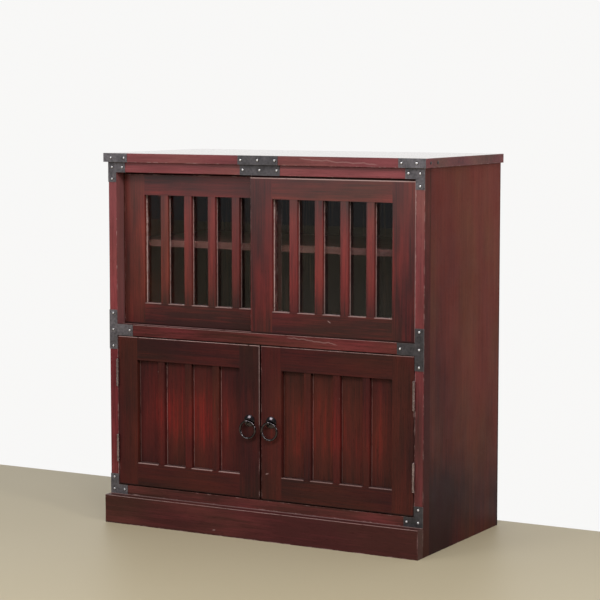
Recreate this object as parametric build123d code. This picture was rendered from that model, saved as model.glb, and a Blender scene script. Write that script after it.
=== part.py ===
from build123d import *
import math
import os

# Low mizuya kitchen cabinet: two lattice doors that slide in a double track over
# two hinged panelled doors, in a carcase of posts, rails and side boards that is
# dressed with nailed iron plates.
#
# Millimetres, +Z up. The front faces -Y and the cabinet's left is -X. The origin
# is on the floor at the middle of the footprint, plinth included.

# ------------------------------------------------------------------ driving sizes

# Carcase
case_width = 755.0          # outside of the left side to the outside of the right
case_depth = 366.0          # front of the posts to the back edge of the sides
total_height = 800.0
side_thickness = 20.0       # side boards and front posts are equally thick
post_depth = 28.0
top_thickness = 19.0
top_side_overhang = 6.0
top_front_overhang = 9.0
plinth_height = 61.0
plinth_thickness = 24.0
bottom_rail_height = 20.0
bottom_rail_depth = 24.0
sill_rail_height = 24.0     # the rail between the sliding and the hinged doors
head_rail_height = 22.0
track_rail_depth = 54.0     # front to back size of the sill and head rails
board_thickness = 15.0      # middle deck, bottom board and shelves
back_thickness = 4.0
rear_rail_height = 30.0
rear_rail_thickness = 18.0
bearer_thickness = 18.0
bearer_floor_gap = 3.0
back_panel_foot = 40.0      # lower edge of the back panel above the floor

# Shelves
shelf_setback = 60.0        # front of the case to the front edge of a shelf
shelf_end_gap = 1.0
upper_shelf_height = 181.0  # top of the sill rail to the top of the shelf
lower_shelf_height = 165.0  # top of the bottom rail to the top of the shelf
shelf_pin_radius = 2.5
shelf_pin_depth = 10.0
shelf_tab_length = 9.0
shelf_tab_width = 12.0
shelf_tab_thickness = 2.0
shelf_pin_inset = 40.0      # shelf edge to the middle of a pin

# Sliding doors
slider_thickness = 18.0
slider_setback = 5.0        # front of the case to the face of the front door
slider_track_gap = 4.0      # back of the front door to the face of the rear door
slider_stile_width = 52.0
slider_top_rail_height = 44.0
slider_bottom_rail_height = 45.0
slider_side_gap = 2.0       # closed door edge to its post
slider_head_gap = 4.5
slider_foot_gap = 1.0
slider_tongue_thickness = 9.0
slider_head_entry = 6.0     # how far the upper tongue reaches into the head rail
slider_play = 0.75          # tongue to each wall, and to the floor, of its groove
head_groove_depth = 12.0
sill_groove_depth = 5.0
lattice_count = 4
lattice_width = 18.5
lattice_setback = 1.0
glass_thickness = 3.0
glass_setback = 11.5        # door face to the front of the glass
glass_lap = 7.0             # how far the glass reaches behind the frame
lattice_glass_gap = 0.3

# Hinged doors
leaf_door_thickness = 20.0
leaf_door_stile_width = 48.5
leaf_door_rail_height = 49.5
leaf_door_z_gap = 2.0
meeting_gap = 4.0
muntin_count = 3
muntin_width = 16.0
muntin_setback = 2.0
panel_setback = 11.0        # door face to the face of the panel in its groove
panel_thickness = 6.0
panel_groove_depth = 7.0
panel_end_play = 1.0        # room for the panel to move at the bottom of its groove
field_rise = 1.6            # how far a raised field stands in front of the panel
field_gap = 0.7
field_chamfer = 1.3

# Butt hinges
hinge_length = 59.0
hinge_end_distance = 49.5   # door end to the hinge
hinge_leaf_thickness = 0.8
hinge_leaf_width = 18.0
hinge_leaf_play = 0.2
hinge_knuckle_radius = 2.8
hinge_pin_radius = 1.4
hinge_pin_clearance = 0.05
hinge_pin_overlength = 1.2
hinge_knuckle_gap = 0.3     # between two knuckles, and from a knuckle to the wood

# Ring pulls
pull_height_on_door = 164.0  # door bottom to the eye
rosette_radius = 12.5
rosette_rim = 1.0
rosette_height = 4.0
eye_width = 4.0
eye_wall = 1.7
eye_distance = 8.5          # door face to the middle of the eye's hole
eye_clearance = 0.4
eye_pin_radius = 1.7
eye_pin_depth = 17.0
eye_pin_clearance = 0.05
ring_radius = 18.0          # to the middle of the rod
ring_rod_radius = 2.4

# Door catches
catch_width = 40.0
catch_height = 12.0
catch_depth = 15.0
catch_play = 0.3
strike_thickness = 1.0
strike_width = 36.0
strike_height = 10.0
strike_top_gap = 1.0        # top of the strike plate below the top of the door

# Iron plates and their nails
plate_thickness = 1.4
plate_arm = 43.0            # reach of an arm of a corner plate, from the outer edges
tee_arm = 59.5              # reach of the tee plate's arm along the sill rail
tee_length = 85.0
top_corner_plate_length = 60.0
centre_plate_length = 95.0
nail_head_radius = 3.6
nail_head_height = 1.6
nail_shank_radius = 0.8
nail_depth = 8.0
nail_clearance = 0.05
nail_inset = 7.0            # plate end to the nearest nail
top_nail_inset = 19.5       # end of the top board to the outer nail of its plate
end_nail_first = 22.5       # front of the top board to the nails in its ends
end_nail_pitch = 32.0

# Joinery
housing_depth = 6.0         # how far boards are let into the sides
tongue_thickness = 6.0
tongue_length = 8.0
joint_end_play = 0.5        # empty space past the end of a tongue or tenon
case_tenon_length = 12.0
case_tenon_thickness = 10.0
case_tenon_shoulder = 4.0
door_tenon_length = 30.0
door_tenon_thickness = 6.0
door_tenon_shoulder = 8.0
bar_tenon_length = 6.0
bar_tenon_thickness = 5.0
bar_tenon_shoulder = 3.0
back_rabbet_width = 8.0
edge_radius = 1.0           # eased arris on show
top_edge_radius = 1.5

# ------------------------------------------------------------------ derived places

front_y = plinth_thickness - (case_depth + plinth_thickness) / 2
back_y = front_y + case_depth
half_width = case_width / 2
inner_half = half_width - side_thickness
rear_face_y = back_y - back_thickness
top_under = total_height - top_thickness
rails_height = head_rail_height + sill_rail_height + bottom_rail_height
opening_height = (top_under - plinth_height - rails_height) / 2
bottom_rail_top = plinth_height + bottom_rail_height
sill_under = bottom_rail_top + opening_height
sill_top = sill_under + sill_rail_height
head_under = sill_top + opening_height
post_back_y = front_y + post_depth
track_back_y = front_y + track_rail_depth
top_front_y = front_y - top_front_overhang
top_half = half_width + top_side_overhang

slider_width = (2 * (inner_half - slider_side_gap) + slider_stile_width) / 2
slider_bottom = sill_top + slider_foot_gap
slider_top = head_under - slider_head_gap
front_slider_y = front_y + slider_setback
rear_slider_y = front_slider_y + slider_thickness + slider_track_gap
slider_travel = 2 * inner_half - 2 * slider_side_gap - slider_width

hinge_gap = 2 * hinge_leaf_thickness + hinge_leaf_play
hinge_x = inner_half - hinge_gap / 2
hinge_y = front_y - hinge_knuckle_radius - hinge_knuckle_gap
leaf_door_bottom = bottom_rail_top + leaf_door_z_gap
leaf_door_top = sill_under - leaf_door_z_gap
leaf_door_inner_x = meeting_gap / 2
leaf_door_outer_x = inner_half - hinge_gap
leaf_door_back_y = front_y + leaf_door_thickness
hinge_starts = (
    leaf_door_bottom + hinge_end_distance,
    leaf_door_top - hinge_end_distance - hinge_length,
)
pull_x = leaf_door_inner_x + leaf_door_stile_width / 2
pull_z = leaf_door_bottom + pull_height_on_door
pull_y = front_y - eye_distance

upper_shelf_top = sill_top + upper_shelf_height
lower_shelf_top = bottom_rail_top + lower_shelf_height
shelf_front_y = front_y + shelf_setback

# ------------------------------------------------------------------ helpers


def slab(x, y, z):
    """A box between two corners, given as a pair of values on each axis."""
    x0, x1 = sorted(x)
    y0, y1 = sorted(y)
    z0, z1 = sorted(z)
    middle = Pos((x0 + x1) / 2, (y0 + y1) / 2, (z0 + z1) / 2)
    return middle * Box(x1 - x0, y1 - y0, z1 - z0)


def both_ways(value):
    """The pair that reaches the same distance to the left and to the right."""
    return (-value, value)


def eased(piece, radius, axis, corners):
    """Round the edges along an axis that pass through the given corners.

    A corner is the pair of the other two coordinates, in X, Y, Z order.
    """
    chosen = []
    for edge in piece.edges().filter_by(axis):
        middle = edge.center()
        place = {
            Axis.X: (middle.Y, middle.Z),
            Axis.Y: (middle.X, middle.Z),
            Axis.Z: (middle.X, middle.Y),
        }[axis]
        if any(abs(place[0] - a) < 0.01 and abs(place[1] - b) < 0.01 for a, b in corners):
            chosen.append(edge)
    return fillet(chosen, radius)


def group(pieces):
    """Separate solids that share one node."""
    return Compound([solid for piece in pieces for solid in piece.solids()])


def mirrored(piece):
    """The same piece for the other side of the cabinet."""
    return mirror(piece, about=Plane.YZ)


def with_mirror(piece):
    """A piece and its twin on the other side, in one node."""
    return group([piece, mirrored(piece)])


def rod_along_y(x, y0, y1, z, radius):
    """A round bar along Y between y0 and y1."""
    middle = Pos(x, (y0 + y1) / 2, z) * Rot(90, 0, 0)
    return middle * Cylinder(radius, abs(y1 - y0))


def rod_along_x(x0, x1, y, z, radius):
    """A round bar along X between x0 and x1."""
    middle = Pos((x0 + x1) / 2, y, z) * Rot(0, 90, 0)
    return middle * Cylinder(radius, abs(x1 - x0))


# ------------------------------------------------------------------ nail places


def head_corner_nails():
    """Nails of the right plate where the head rail meets the post."""
    on_rail = top_under - head_rail_height / 2
    on_post = half_width - side_thickness / 2
    return [
        (on_post, on_rail),
        (half_width - plate_arm + nail_inset, on_rail),
        (on_post, top_under - plate_arm + nail_inset),
    ]


def tee_nails():
    """Nails of the right plate where the sill rail meets the post."""
    on_rail = sill_top - sill_rail_height / 2
    on_post = half_width - side_thickness / 2
    reach = tee_length / 2 - nail_inset
    return [
        (on_post, on_rail + reach),
        (on_post, on_rail),
        (on_post, on_rail - reach),
        (half_width - tee_arm + nail_inset, on_rail),
    ]


def base_corner_nails():
    """Nails of the right plate where the bottom rail meets the post."""
    on_rail = bottom_rail_top - bottom_rail_height / 2
    on_post = half_width - side_thickness / 2
    return [
        (on_post, on_rail),
        (half_width - plate_arm + nail_inset, on_rail),
        (on_post, plinth_height + plate_arm - nail_inset),
    ]


def centre_nails(z):
    """The row of three nails of a centre plate at height z."""
    reach = centre_plate_length / 2 - nail_inset
    return [(-reach, z), (0.0, z), (reach, z)]


def top_corner_nails():
    """Nails of the right plate on the front edge of the top board."""
    z = total_height - top_thickness / 2
    return [
        (top_half - top_nail_inset, z),
        (top_half - top_corner_plate_length + nail_inset, z),
    ]


def both_sides(points):
    """The given (x, z) places and their twins on the left."""
    return [(sign * x, z) for x, z in points for sign in (1, -1)]


case_nails = both_sides(head_corner_nails() + tee_nails() + base_corner_nails())
case_nails += centre_nails(top_under - head_rail_height / 2)
top_nails = both_sides(top_corner_nails())
top_nails += centre_nails(total_height - top_thickness / 2)
end_nail_places = [top_front_y + end_nail_first + i * end_nail_pitch for i in range(2)]
end_nail_z = total_height - top_thickness / 2


def drilled(piece, points, face_y):
    """Pilot holes for nails driven into the face at face_y, where they meet a piece."""
    low = piece.bounding_box().min
    high = piece.bounding_box().max
    radius = nail_shank_radius + nail_clearance
    for x, z in points:
        if low.X < x < high.X and low.Z < z < high.Z:
            piece -= rod_along_y(x, face_y - plate_thickness, face_y + nail_depth, z, radius)
    return piece


# ------------------------------------------------------------------ carcase


def case_tenon(z_low, z_high, allowance):
    """Right-hand tenon of a front rail; the mortise is longer by the allowance."""
    middle_y = front_y + post_depth / 2
    return slab(
        (inner_half, inner_half + case_tenon_length + allowance),
        (middle_y - case_tenon_thickness / 2, middle_y + case_tenon_thickness / 2),
        (z_low + case_tenon_shoulder, z_high - case_tenon_shoulder),
    )


def housed_end(front, z_low, z_high):
    """The right end of a board, let into the side behind the post."""
    return slab(
        (inner_half, inner_half + housing_depth),
        (max(front, post_back_y), rear_face_y),
        (z_low, z_high),
    )


def tongued_board(front, z_low, z_high):
    """A board housed in both sides, with a tongue into the rail in front of it."""
    board = slab(both_ways(inner_half), (front, rear_face_y), (z_low, z_high))
    end = housed_end(front, z_low, z_high)
    board = board + end + mirrored(end)
    middle_z = (z_low + z_high) / 2
    half_tongue = tongue_thickness / 2
    board += slab(
        both_ways(inner_half),
        (front - tongue_length, front),
        (middle_z - half_tongue, middle_z + half_tongue),
    )
    return board


def tongue_groove(front, z_low, z_high):
    """The groove in a rail that takes the tongue of the board behind it."""
    middle_z = (z_low + z_high) / 2
    half_tongue = tongue_thickness / 2
    return slab(
        both_ways(inner_half),
        (front - tongue_length - joint_end_play, front),
        (middle_z - half_tongue, middle_z + half_tongue),
    )


def side_top_tongue(allowance):
    """Tongue along the top of the right side, let into the top board."""
    middle_x = half_width - side_thickness / 2
    half_tongue = tongue_thickness / 2
    return slab(
        (middle_x - half_tongue, middle_x + half_tongue),
        (post_back_y, back_y - 2 * back_thickness),
        (top_under, top_under + tongue_length + allowance),
    )


def side_front_tongue(allowance):
    """Tongue along the front of the right side, let into the back of the post."""
    middle_x = half_width - side_thickness / 2
    half_tongue = tongue_thickness / 2
    return slab(
        (middle_x - half_tongue, middle_x + half_tongue),
        (post_back_y - tongue_length - allowance, post_back_y),
        (0, top_under),
    )


def make_top_board():
    """The top board, grooved underneath for the sides."""
    board = slab(both_ways(top_half), (top_front_y, back_y), (top_under, total_height))
    groove = side_top_tongue(joint_end_play)
    board = board - groove - mirrored(groove)
    board = eased(board, top_edge_radius, Axis.X, [(top_front_y, total_height)])
    sides = [(top_half, total_height), (-top_half, total_height)]
    board = eased(board, top_edge_radius, Axis.Y, sides)
    board = drilled(board, top_nails, top_front_y)
    radius = nail_shank_radius + nail_clearance
    for y in end_nail_places:
        hole = rod_along_x(top_half - nail_depth, top_half, y, end_nail_z, radius)
        board = board - hole - mirrored(hole)
    return board


def make_post():
    """The right front post, mortised for three rails."""
    post = slab((inner_half, half_width), (front_y, post_back_y), (0, top_under))
    post -= side_front_tongue(joint_end_play)
    for z_low, z_high in (
        (head_under, top_under),
        (sill_under, sill_top),
        (plinth_height, bottom_rail_top),
    ):
        post -= case_tenon(z_low, z_high, joint_end_play)
    post = eased(post, edge_radius, Axis.Z, [(half_width, front_y)])
    return drilled(post, case_nails, front_y)


def make_side():
    """The right side board, housed for everything that it carries."""
    side = slab((inner_half, half_width), (post_back_y, back_y), (0, top_under))
    side = side + side_front_tongue(0) + side_top_tongue(0)
    housed_x = (inner_half, inner_half + housing_depth)
    side -= housed_end(track_back_y, sill_top - board_thickness, sill_top)
    bottom_front = front_y + bottom_rail_depth
    side -= housed_end(bottom_front, bottom_rail_top - board_thickness, bottom_rail_top)
    rail_y = (rear_face_y - rear_rail_thickness, rear_face_y)
    side -= slab(housed_x, rail_y, (top_under - rear_rail_height, top_under))
    bearer_y = (rear_face_y - bearer_thickness, rear_face_y)
    side -= slab(housed_x, bearer_y, (0, bottom_rail_top - board_thickness))
    rabbet_x = (inner_half, inner_half + back_rabbet_width)
    side -= slab(rabbet_x, (rear_face_y, back_y), (0, top_under))
    radius = shelf_pin_radius + nail_clearance
    for y, z in shelf_pin_places():
        side -= rod_along_x(inner_half, inner_half + shelf_pin_depth, y, z, radius)
    return eased(side, edge_radius, Axis.Z, [(half_width, back_y)])


def front_rail(z_low, z_high, depth):
    """A rail between the posts, with a tenon at each end."""
    rail = slab(both_ways(inner_half), (front_y, front_y + depth), (z_low, z_high))
    tenon = case_tenon(z_low, z_high, 0)
    return rail + tenon + mirrored(tenon)


def track_grooves(z_low, z_high):
    """The pair of grooves in which the sliding doors run."""
    grooves = []
    half_groove = slider_tongue_thickness / 2 + slider_play
    for face_y in (front_slider_y, rear_slider_y):
        middle_y = face_y + slider_thickness / 2
        grooves.append(
            slab(
                both_ways(inner_half),
                (middle_y - half_groove, middle_y + half_groove),
                (z_low, z_high),
            )
        )
    return grooves


def make_head_rail():
    """The head rail, with deep grooves so that a door lifts out."""
    rail = front_rail(head_under, top_under, track_rail_depth)
    for groove in track_grooves(head_under, head_under + head_groove_depth):
        rail -= groove
    rail = eased(rail, edge_radius, Axis.X, [(front_y, head_under)])
    return drilled(rail, case_nails, front_y)


def make_sill_rail():
    """The middle rail: sill of the sliding doors and head of the hinged ones."""
    rail = front_rail(sill_under, sill_top, track_rail_depth)
    for groove in track_grooves(sill_top - sill_groove_depth, sill_top):
        rail -= groove
    rail -= tongue_groove(track_back_y, sill_top - board_thickness, sill_top)
    rail = eased(rail, edge_radius, Axis.X, [(front_y, sill_top), (front_y, sill_under)])
    return drilled(rail, case_nails, front_y)


def make_bottom_rail():
    """The rail under the hinged doors, which shows above the plinth."""
    rail = front_rail(plinth_height, bottom_rail_top, bottom_rail_depth)
    rail_back = front_y + bottom_rail_depth
    rail -= tongue_groove(rail_back, bottom_rail_top - board_thickness, bottom_rail_top)
    rail = eased(rail, edge_radius, Axis.X, [(front_y, bottom_rail_top)])
    return drilled(rail, case_nails, front_y)


def make_plinth_board():
    """The plinth board, which stands in front of the posts."""
    board_front = front_y - plinth_thickness
    board = slab(both_ways(half_width), (board_front, front_y), (0, plinth_height))
    board = eased(board, top_edge_radius, Axis.X, [(board_front, plinth_height)])
    corners = [(half_width, board_front), (-half_width, board_front)]
    return eased(board, edge_radius, Axis.Z, corners)


def make_plinth_bearer():
    """The bearer behind the plinth board, under the bottom rail."""
    return slab(
        both_ways(inner_half),
        (front_y, front_y + bearer_thickness),
        (bearer_floor_gap, plinth_height),
    )


def make_rear_bearer():
    """The bearer under the back edge of the bottom board."""
    return slab(
        both_ways(inner_half + housing_depth),
        (rear_face_y - bearer_thickness, rear_face_y),
        (bearer_floor_gap, bottom_rail_top - board_thickness),
    )


def make_rear_top_rail():
    """The rail that ties the sides together at the top of the back."""
    return slab(
        both_ways(inner_half + housing_depth),
        (rear_face_y - rear_rail_thickness, rear_face_y),
        (top_under - rear_rail_height, top_under),
    )


def make_back_panel():
    """The thin back, in the rabbets of the sides."""
    return slab(
        both_ways(inner_half + back_rabbet_width),
        (rear_face_y, back_y),
        (back_panel_foot, top_under),
    )


def make_shelf(top):
    """A loose shelf whose top face is at the given height."""
    shelf = slab(
        both_ways(inner_half - shelf_end_gap),
        (shelf_front_y, rear_face_y - shelf_end_gap),
        (top - board_thickness, top),
    )
    corners = [(shelf_front_y, top), (shelf_front_y, top - board_thickness)]
    return eased(shelf, edge_radius, Axis.X, corners)


def shelf_pin_places():
    """(y, z) of the holes in one side for the pins of both shelves."""
    columns = (shelf_front_y + shelf_pin_inset, rear_face_y - shelf_pin_inset)
    drop = board_thickness + shelf_tab_thickness / 2
    return [(y, top - drop) for top in (upper_shelf_top, lower_shelf_top) for y in columns]


def make_shelf_pins():
    """Round pins in the sides, each with a flat tab under the shelf."""
    pins = []
    for y, z in shelf_pin_places():
        pin = rod_along_x(inner_half, inner_half + shelf_pin_depth, y, z, shelf_pin_radius)
        pin += slab(
            (inner_half - shelf_tab_length, inner_half),
            (y - shelf_tab_width / 2, y + shelf_tab_width / 2),
            (z - shelf_tab_thickness / 2, z + shelf_tab_thickness / 2),
        )
        pins += [pin, mirrored(pin)]
    return group(pins)


# ------------------------------------------------------------------ iron plates


def plate(x, z, face_y):
    """A flat rectangle of plate on the face at face_y."""
    return slab(x, (face_y - plate_thickness, face_y), z)


def holed(piece, points, face_y):
    """Nail holes through a plate."""
    radius = nail_shank_radius + nail_clearance
    for x, z in points:
        piece -= rod_along_y(x, face_y - plate_thickness, face_y, z, radius)
    return piece


def make_top_board_plates():
    """The two corner plates and the centre plate on the edge of the top board."""
    height = (top_under, total_height)
    corner = plate((top_half - top_corner_plate_length, top_half), height, top_front_y)
    corner = holed(corner, top_corner_nails(), top_front_y)
    centre = plate(both_ways(centre_plate_length / 2), height, top_front_y)
    middle_z = total_height - top_thickness / 2
    centre = holed(centre, centre_nails(middle_z), top_front_y)
    return group([corner, mirrored(corner), centre])


def make_head_rail_plates():
    """The two corner plates and the centre plate at the head rail."""
    on_post = (inner_half, half_width)
    on_rail = (half_width - plate_arm, half_width)
    rail_z = (head_under, top_under)
    corner = plate(on_rail, rail_z, front_y)
    corner += plate(on_post, (top_under - plate_arm, top_under), front_y)
    corner = holed(corner, head_corner_nails(), front_y)
    centre = plate(both_ways(centre_plate_length / 2), rail_z, front_y)
    centre = holed(centre, centre_nails(top_under - head_rail_height / 2), front_y)
    return group([corner, mirrored(corner), centre])


def make_tee_plates():
    """The plates over the joints of the sill rail."""
    middle_z = sill_top - sill_rail_height / 2
    post_z = (middle_z - tee_length / 2, middle_z + tee_length / 2)
    tee = plate((inner_half, half_width), post_z, front_y)
    tee += plate((half_width - tee_arm, half_width), (sill_under, sill_top), front_y)
    return with_mirror(holed(tee, tee_nails(), front_y))


def make_base_corner_plates():
    """The plates over the joints of the bottom rail."""
    rail_z = (plinth_height, bottom_rail_top)
    corner = plate((half_width - plate_arm, half_width), rail_z, front_y)
    post_z = (plinth_height, plinth_height + plate_arm)
    corner += plate((inner_half, half_width), post_z, front_y)
    return with_mirror(holed(corner, base_corner_nails(), front_y))


def nail(under_head, depth):
    """A domed nail that points along +Y; its head sits on the plane y = 0."""
    bulge = (nail_head_radius**2 + nail_head_height**2) / (2 * nail_head_height)
    head = Pos(0, bulge - nail_head_height, 0) * Sphere(bulge)
    reach = 2 * bulge
    head -= slab(both_ways(reach), (0, 2 * reach), both_ways(reach))
    return head + rod_along_y(0, 0, under_head + depth, 0, nail_shank_radius)


def make_plate_nails():
    """All domed nails, in the plates and in the ends of the top board."""
    plate_nail = nail(plate_thickness, nail_depth - 2 * joint_end_play)
    nails = []
    for points, face_y in ((case_nails, front_y), (top_nails, top_front_y)):
        for x, z in points:
            nails.append(Pos(x, face_y - plate_thickness, z) * plate_nail)
    end_nail = Rot(0, 0, 90) * nail(0, nail_depth - 2 * joint_end_play)
    for y in end_nail_places:
        right = Pos(top_half, y, end_nail_z) * end_nail
        nails += [right, mirrored(right)]
    return group(nails)


# ------------------------------------------------------------------ door framing


def rail_tenon(x_from, direction, y_pair, z_pair, length):
    """A tenon that leaves a rail's end at x_from, to the left (-1) or right (1)."""
    return slab((x_from, x_from + direction * length), y_pair, z_pair)


def even_places(low, high, count, width):
    """Left edges of bars of one width, spaced evenly between two edges."""
    space = (high - low - count * width) / (count + 1)
    return [low + space + i * (space + width) for i in range(count)]


# ------------------------------------------------------------------ sliding doors


def slider_tenon_y(face_y):
    """Front and back of the tenons in a sliding door's frame."""
    start = face_y + (glass_setback - door_tenon_thickness) / 2
    return (start, start + door_tenon_thickness)


def slider_tenon_z(z_low, z_high):
    """Bottom and top of the tenons of a rail between two heights."""
    return (z_low + door_tenon_shoulder, z_high - door_tenon_shoulder)


def slider_tongues(x_pair, face_y, at_foot, at_head):
    """The thin lips that run in the sill's and the head's grooves."""
    middle_y = face_y + slider_thickness / 2
    y_pair = (middle_y - slider_tongue_thickness / 2, middle_y + slider_tongue_thickness / 2)
    tongues = []
    if at_foot:
        foot = slider_bottom - slider_foot_gap - sill_groove_depth + slider_play
        tongues.append(slab(x_pair, y_pair, (foot, slider_bottom)))
    if at_head:
        head = slider_top + slider_head_gap + slider_head_entry
        tongues.append(slab(x_pair, y_pair, (slider_top, head)))
    return tongues


def slider_glass_rabbet(x0, face_y):
    """The step behind the frame in which the glass and its beads lie."""
    return slab(
        (
            x0 + slider_stile_width - glass_lap,
            x0 + slider_width - slider_stile_width + glass_lap,
        ),
        (face_y + glass_setback, face_y + slider_thickness),
        (
            slider_bottom + slider_bottom_rail_height - glass_lap,
            slider_top - slider_top_rail_height + glass_lap,
        ),
    )


def slider_rail_heights():
    """Bottom and top of the lower and of the upper rail."""
    lower = (slider_bottom, slider_bottom + slider_bottom_rail_height)
    upper = (slider_top - slider_top_rail_height, slider_top)
    return lower, upper


def make_slider_stile(x0, face_y, at_left):
    """One stile of the sliding door whose left edge is at x0."""
    if at_left:
        low_x = x0
        inner_x = x0 + slider_stile_width
        inward = -1
    else:
        low_x = x0 + slider_width - slider_stile_width
        inner_x = low_x
        inward = 1
    x_pair = (low_x, low_x + slider_stile_width)
    stile = slab(x_pair, (face_y, face_y + slider_thickness), (slider_bottom, slider_top))
    for tongue in slider_tongues(x_pair, face_y, True, True):
        stile += tongue
    for z_low, z_high in slider_rail_heights():
        stile -= rail_tenon(
            inner_x,
            inward,
            slider_tenon_y(face_y),
            slider_tenon_z(z_low, z_high),
            door_tenon_length + joint_end_play,
        )
    stile -= slider_glass_rabbet(x0, face_y)
    outer_x = x_pair[0] if at_left else x_pair[1]
    return eased(stile, edge_radius, Axis.Z, [(outer_x, face_y)])


def slider_bar_places(x0):
    """Left edges of the lattice bars of the door whose left edge is at x0."""
    low = x0 + slider_stile_width
    high = x0 + slider_width - slider_stile_width
    return even_places(low, high, lattice_count, lattice_width)


def slider_bar_tenons(x0, face_y, allowance):
    """Tenons at both ends of every lattice bar; mortises get an allowance."""
    lower, upper = slider_rail_heights()
    start_y = face_y + glass_setback / 2 - bar_tenon_thickness / 2
    tenons = []
    for left in slider_bar_places(x0):
        x_pair = (left + bar_tenon_shoulder, left + lattice_width - bar_tenon_shoulder)
        reach = bar_tenon_length + allowance
        for z_pair in ((lower[1] - reach, lower[1]), (upper[0], upper[0] + reach)):
            tenons.append(slab(x_pair, (start_y, start_y + bar_tenon_thickness), z_pair))
    return tenons


def make_slider_rail(x0, face_y, at_foot):
    """The lower or the upper rail of a sliding door, between its stiles."""
    z_low, z_high = slider_rail_heights()[0 if at_foot else 1]
    x_pair = (x0 + slider_stile_width, x0 + slider_width - slider_stile_width)
    rail = slab(x_pair, (face_y, face_y + slider_thickness), (z_low, z_high))
    for tongue in slider_tongues(x_pair, face_y, at_foot, not at_foot):
        rail += tongue
    tenon_y = slider_tenon_y(face_y)
    tenon_z = slider_tenon_z(z_low, z_high)
    rail += rail_tenon(x_pair[0], -1, tenon_y, tenon_z, door_tenon_length)
    rail += rail_tenon(x_pair[1], 1, tenon_y, tenon_z, door_tenon_length)
    rail -= slider_glass_rabbet(x0, face_y)
    for mortise in slider_bar_tenons(x0, face_y, joint_end_play):
        rail -= mortise
    return rail


def make_slider_lattice(x0, face_y):
    """The upright bars in front of the glass."""
    lower, upper = slider_rail_heights()
    bars = []
    y_pair = (face_y + lattice_setback, face_y + glass_setback - lattice_glass_gap)
    tenons = slider_bar_tenons(x0, face_y, 0)
    for i, left in enumerate(slider_bar_places(x0)):
        x_pair = (left, left + lattice_width)
        bar = slab(x_pair, y_pair, (lower[1], upper[0]))
        corners = [(left, y_pair[0]), (left + lattice_width, y_pair[0])]
        bar = eased(bar, edge_radius / 2, Axis.Z, corners)
        bars.append(bar + tenons[2 * i] + tenons[2 * i + 1])
    return group(bars)


def glass_edges(x0):
    """Left, right, bottom and top of the glass."""
    lower, upper = slider_rail_heights()
    return (
        x0 + slider_stile_width - glass_lap,
        x0 + slider_width - slider_stile_width + glass_lap,
        lower[1] - glass_lap,
        upper[0] + glass_lap,
    )


def make_slider_glass(x0, face_y):
    """The pane behind the lattice."""
    left, right, bottom, top = glass_edges(x0)
    y_pair = (face_y + glass_setback, face_y + glass_setback + glass_thickness)
    return slab((left, right), y_pair, (bottom, top))


def make_slider_beads(x0, face_y):
    """Four strips that hold the glass from behind."""
    left, right, bottom, top = glass_edges(x0)
    y_pair = (face_y + glass_setback + glass_thickness, face_y + slider_thickness)
    return group(
        [
            slab((left, left + glass_lap), y_pair, (bottom, top)),
            slab((right - glass_lap, right), y_pair, (bottom, top)),
            slab((left + glass_lap, right - glass_lap), y_pair, (bottom, bottom + glass_lap)),
            slab((left + glass_lap, right - glass_lap), y_pair, (top - glass_lap, top)),
        ]
    )


def sliding_door(side, x0, face_y):
    """All nodes of one sliding door."""
    return {
        f"{side}_slider_left_stile": make_slider_stile(x0, face_y, True),
        f"{side}_slider_right_stile": make_slider_stile(x0, face_y, False),
        f"{side}_slider_bottom_rail": make_slider_rail(x0, face_y, True),
        f"{side}_slider_top_rail": make_slider_rail(x0, face_y, False),
        f"{side}_slider_lattice": make_slider_lattice(x0, face_y),
        f"{side}_slider_glass": make_slider_glass(x0, face_y),
        f"{side}_slider_glass_beads": make_slider_beads(x0, face_y),
    }


# ------------------------------------------------------------------ hinged doors
# Every piece is made for the right door; the left door has its mirror image.

leaf_recess_x = (
    leaf_door_inner_x + leaf_door_stile_width,
    leaf_door_outer_x - leaf_door_stile_width,
)
leaf_recess_z = (
    leaf_door_bottom + leaf_door_rail_height,
    leaf_door_top - leaf_door_rail_height,
)
panel_y = (front_y + panel_setback, front_y + panel_setback + panel_thickness)


def panel_outline(reach):
    """The space of the panel, reaching into the frame's grooves."""
    return slab(
        (leaf_recess_x[0] - reach, leaf_recess_x[1] + reach),
        panel_y,
        (leaf_recess_z[0] - reach, leaf_recess_z[1] + reach),
    )


def leaf_rail_heights():
    """Bottom and top of the lower and of the upper rail."""
    lower = (leaf_door_bottom, leaf_recess_z[0])
    upper = (leaf_recess_z[1], leaf_door_top)
    return lower, upper


def leaf_tenon_z(z_low, z_high):
    """Bottom and top of a rail's tenons."""
    return (z_low + door_tenon_shoulder, z_high - door_tenon_shoulder)


def make_leaf_stile(at_hinge):
    """The hinge stile or the meeting stile."""
    if at_hinge:
        outer_x = leaf_door_outer_x
        inner_x = leaf_recess_x[1]
        inward = 1
    else:
        outer_x = leaf_door_inner_x
        inner_x = leaf_recess_x[0]
        inward = -1
    y_pair = (front_y, leaf_door_back_y)
    stile = slab((outer_x, inner_x), y_pair, (leaf_door_bottom, leaf_door_top))
    stile -= panel_outline(panel_groove_depth)
    for z_low, z_high in leaf_rail_heights():
        stile -= rail_tenon(
            inner_x,
            inward,
            panel_y,
            leaf_tenon_z(z_low, z_high),
            door_tenon_length + joint_end_play,
        )
    if not at_hinge:
        radius = eye_pin_radius + eye_pin_clearance
        bottom = front_y + eye_pin_depth + joint_end_play
        stile -= rod_along_y(pull_x, front_y, bottom, pull_z, radius)
    return eased(stile, edge_radius, Axis.Z, [(outer_x, front_y)])


def muntin_places():
    """Left edges of the bars in front of the panel."""
    return even_places(leaf_recess_x[0], leaf_recess_x[1], muntin_count, muntin_width)


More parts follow.
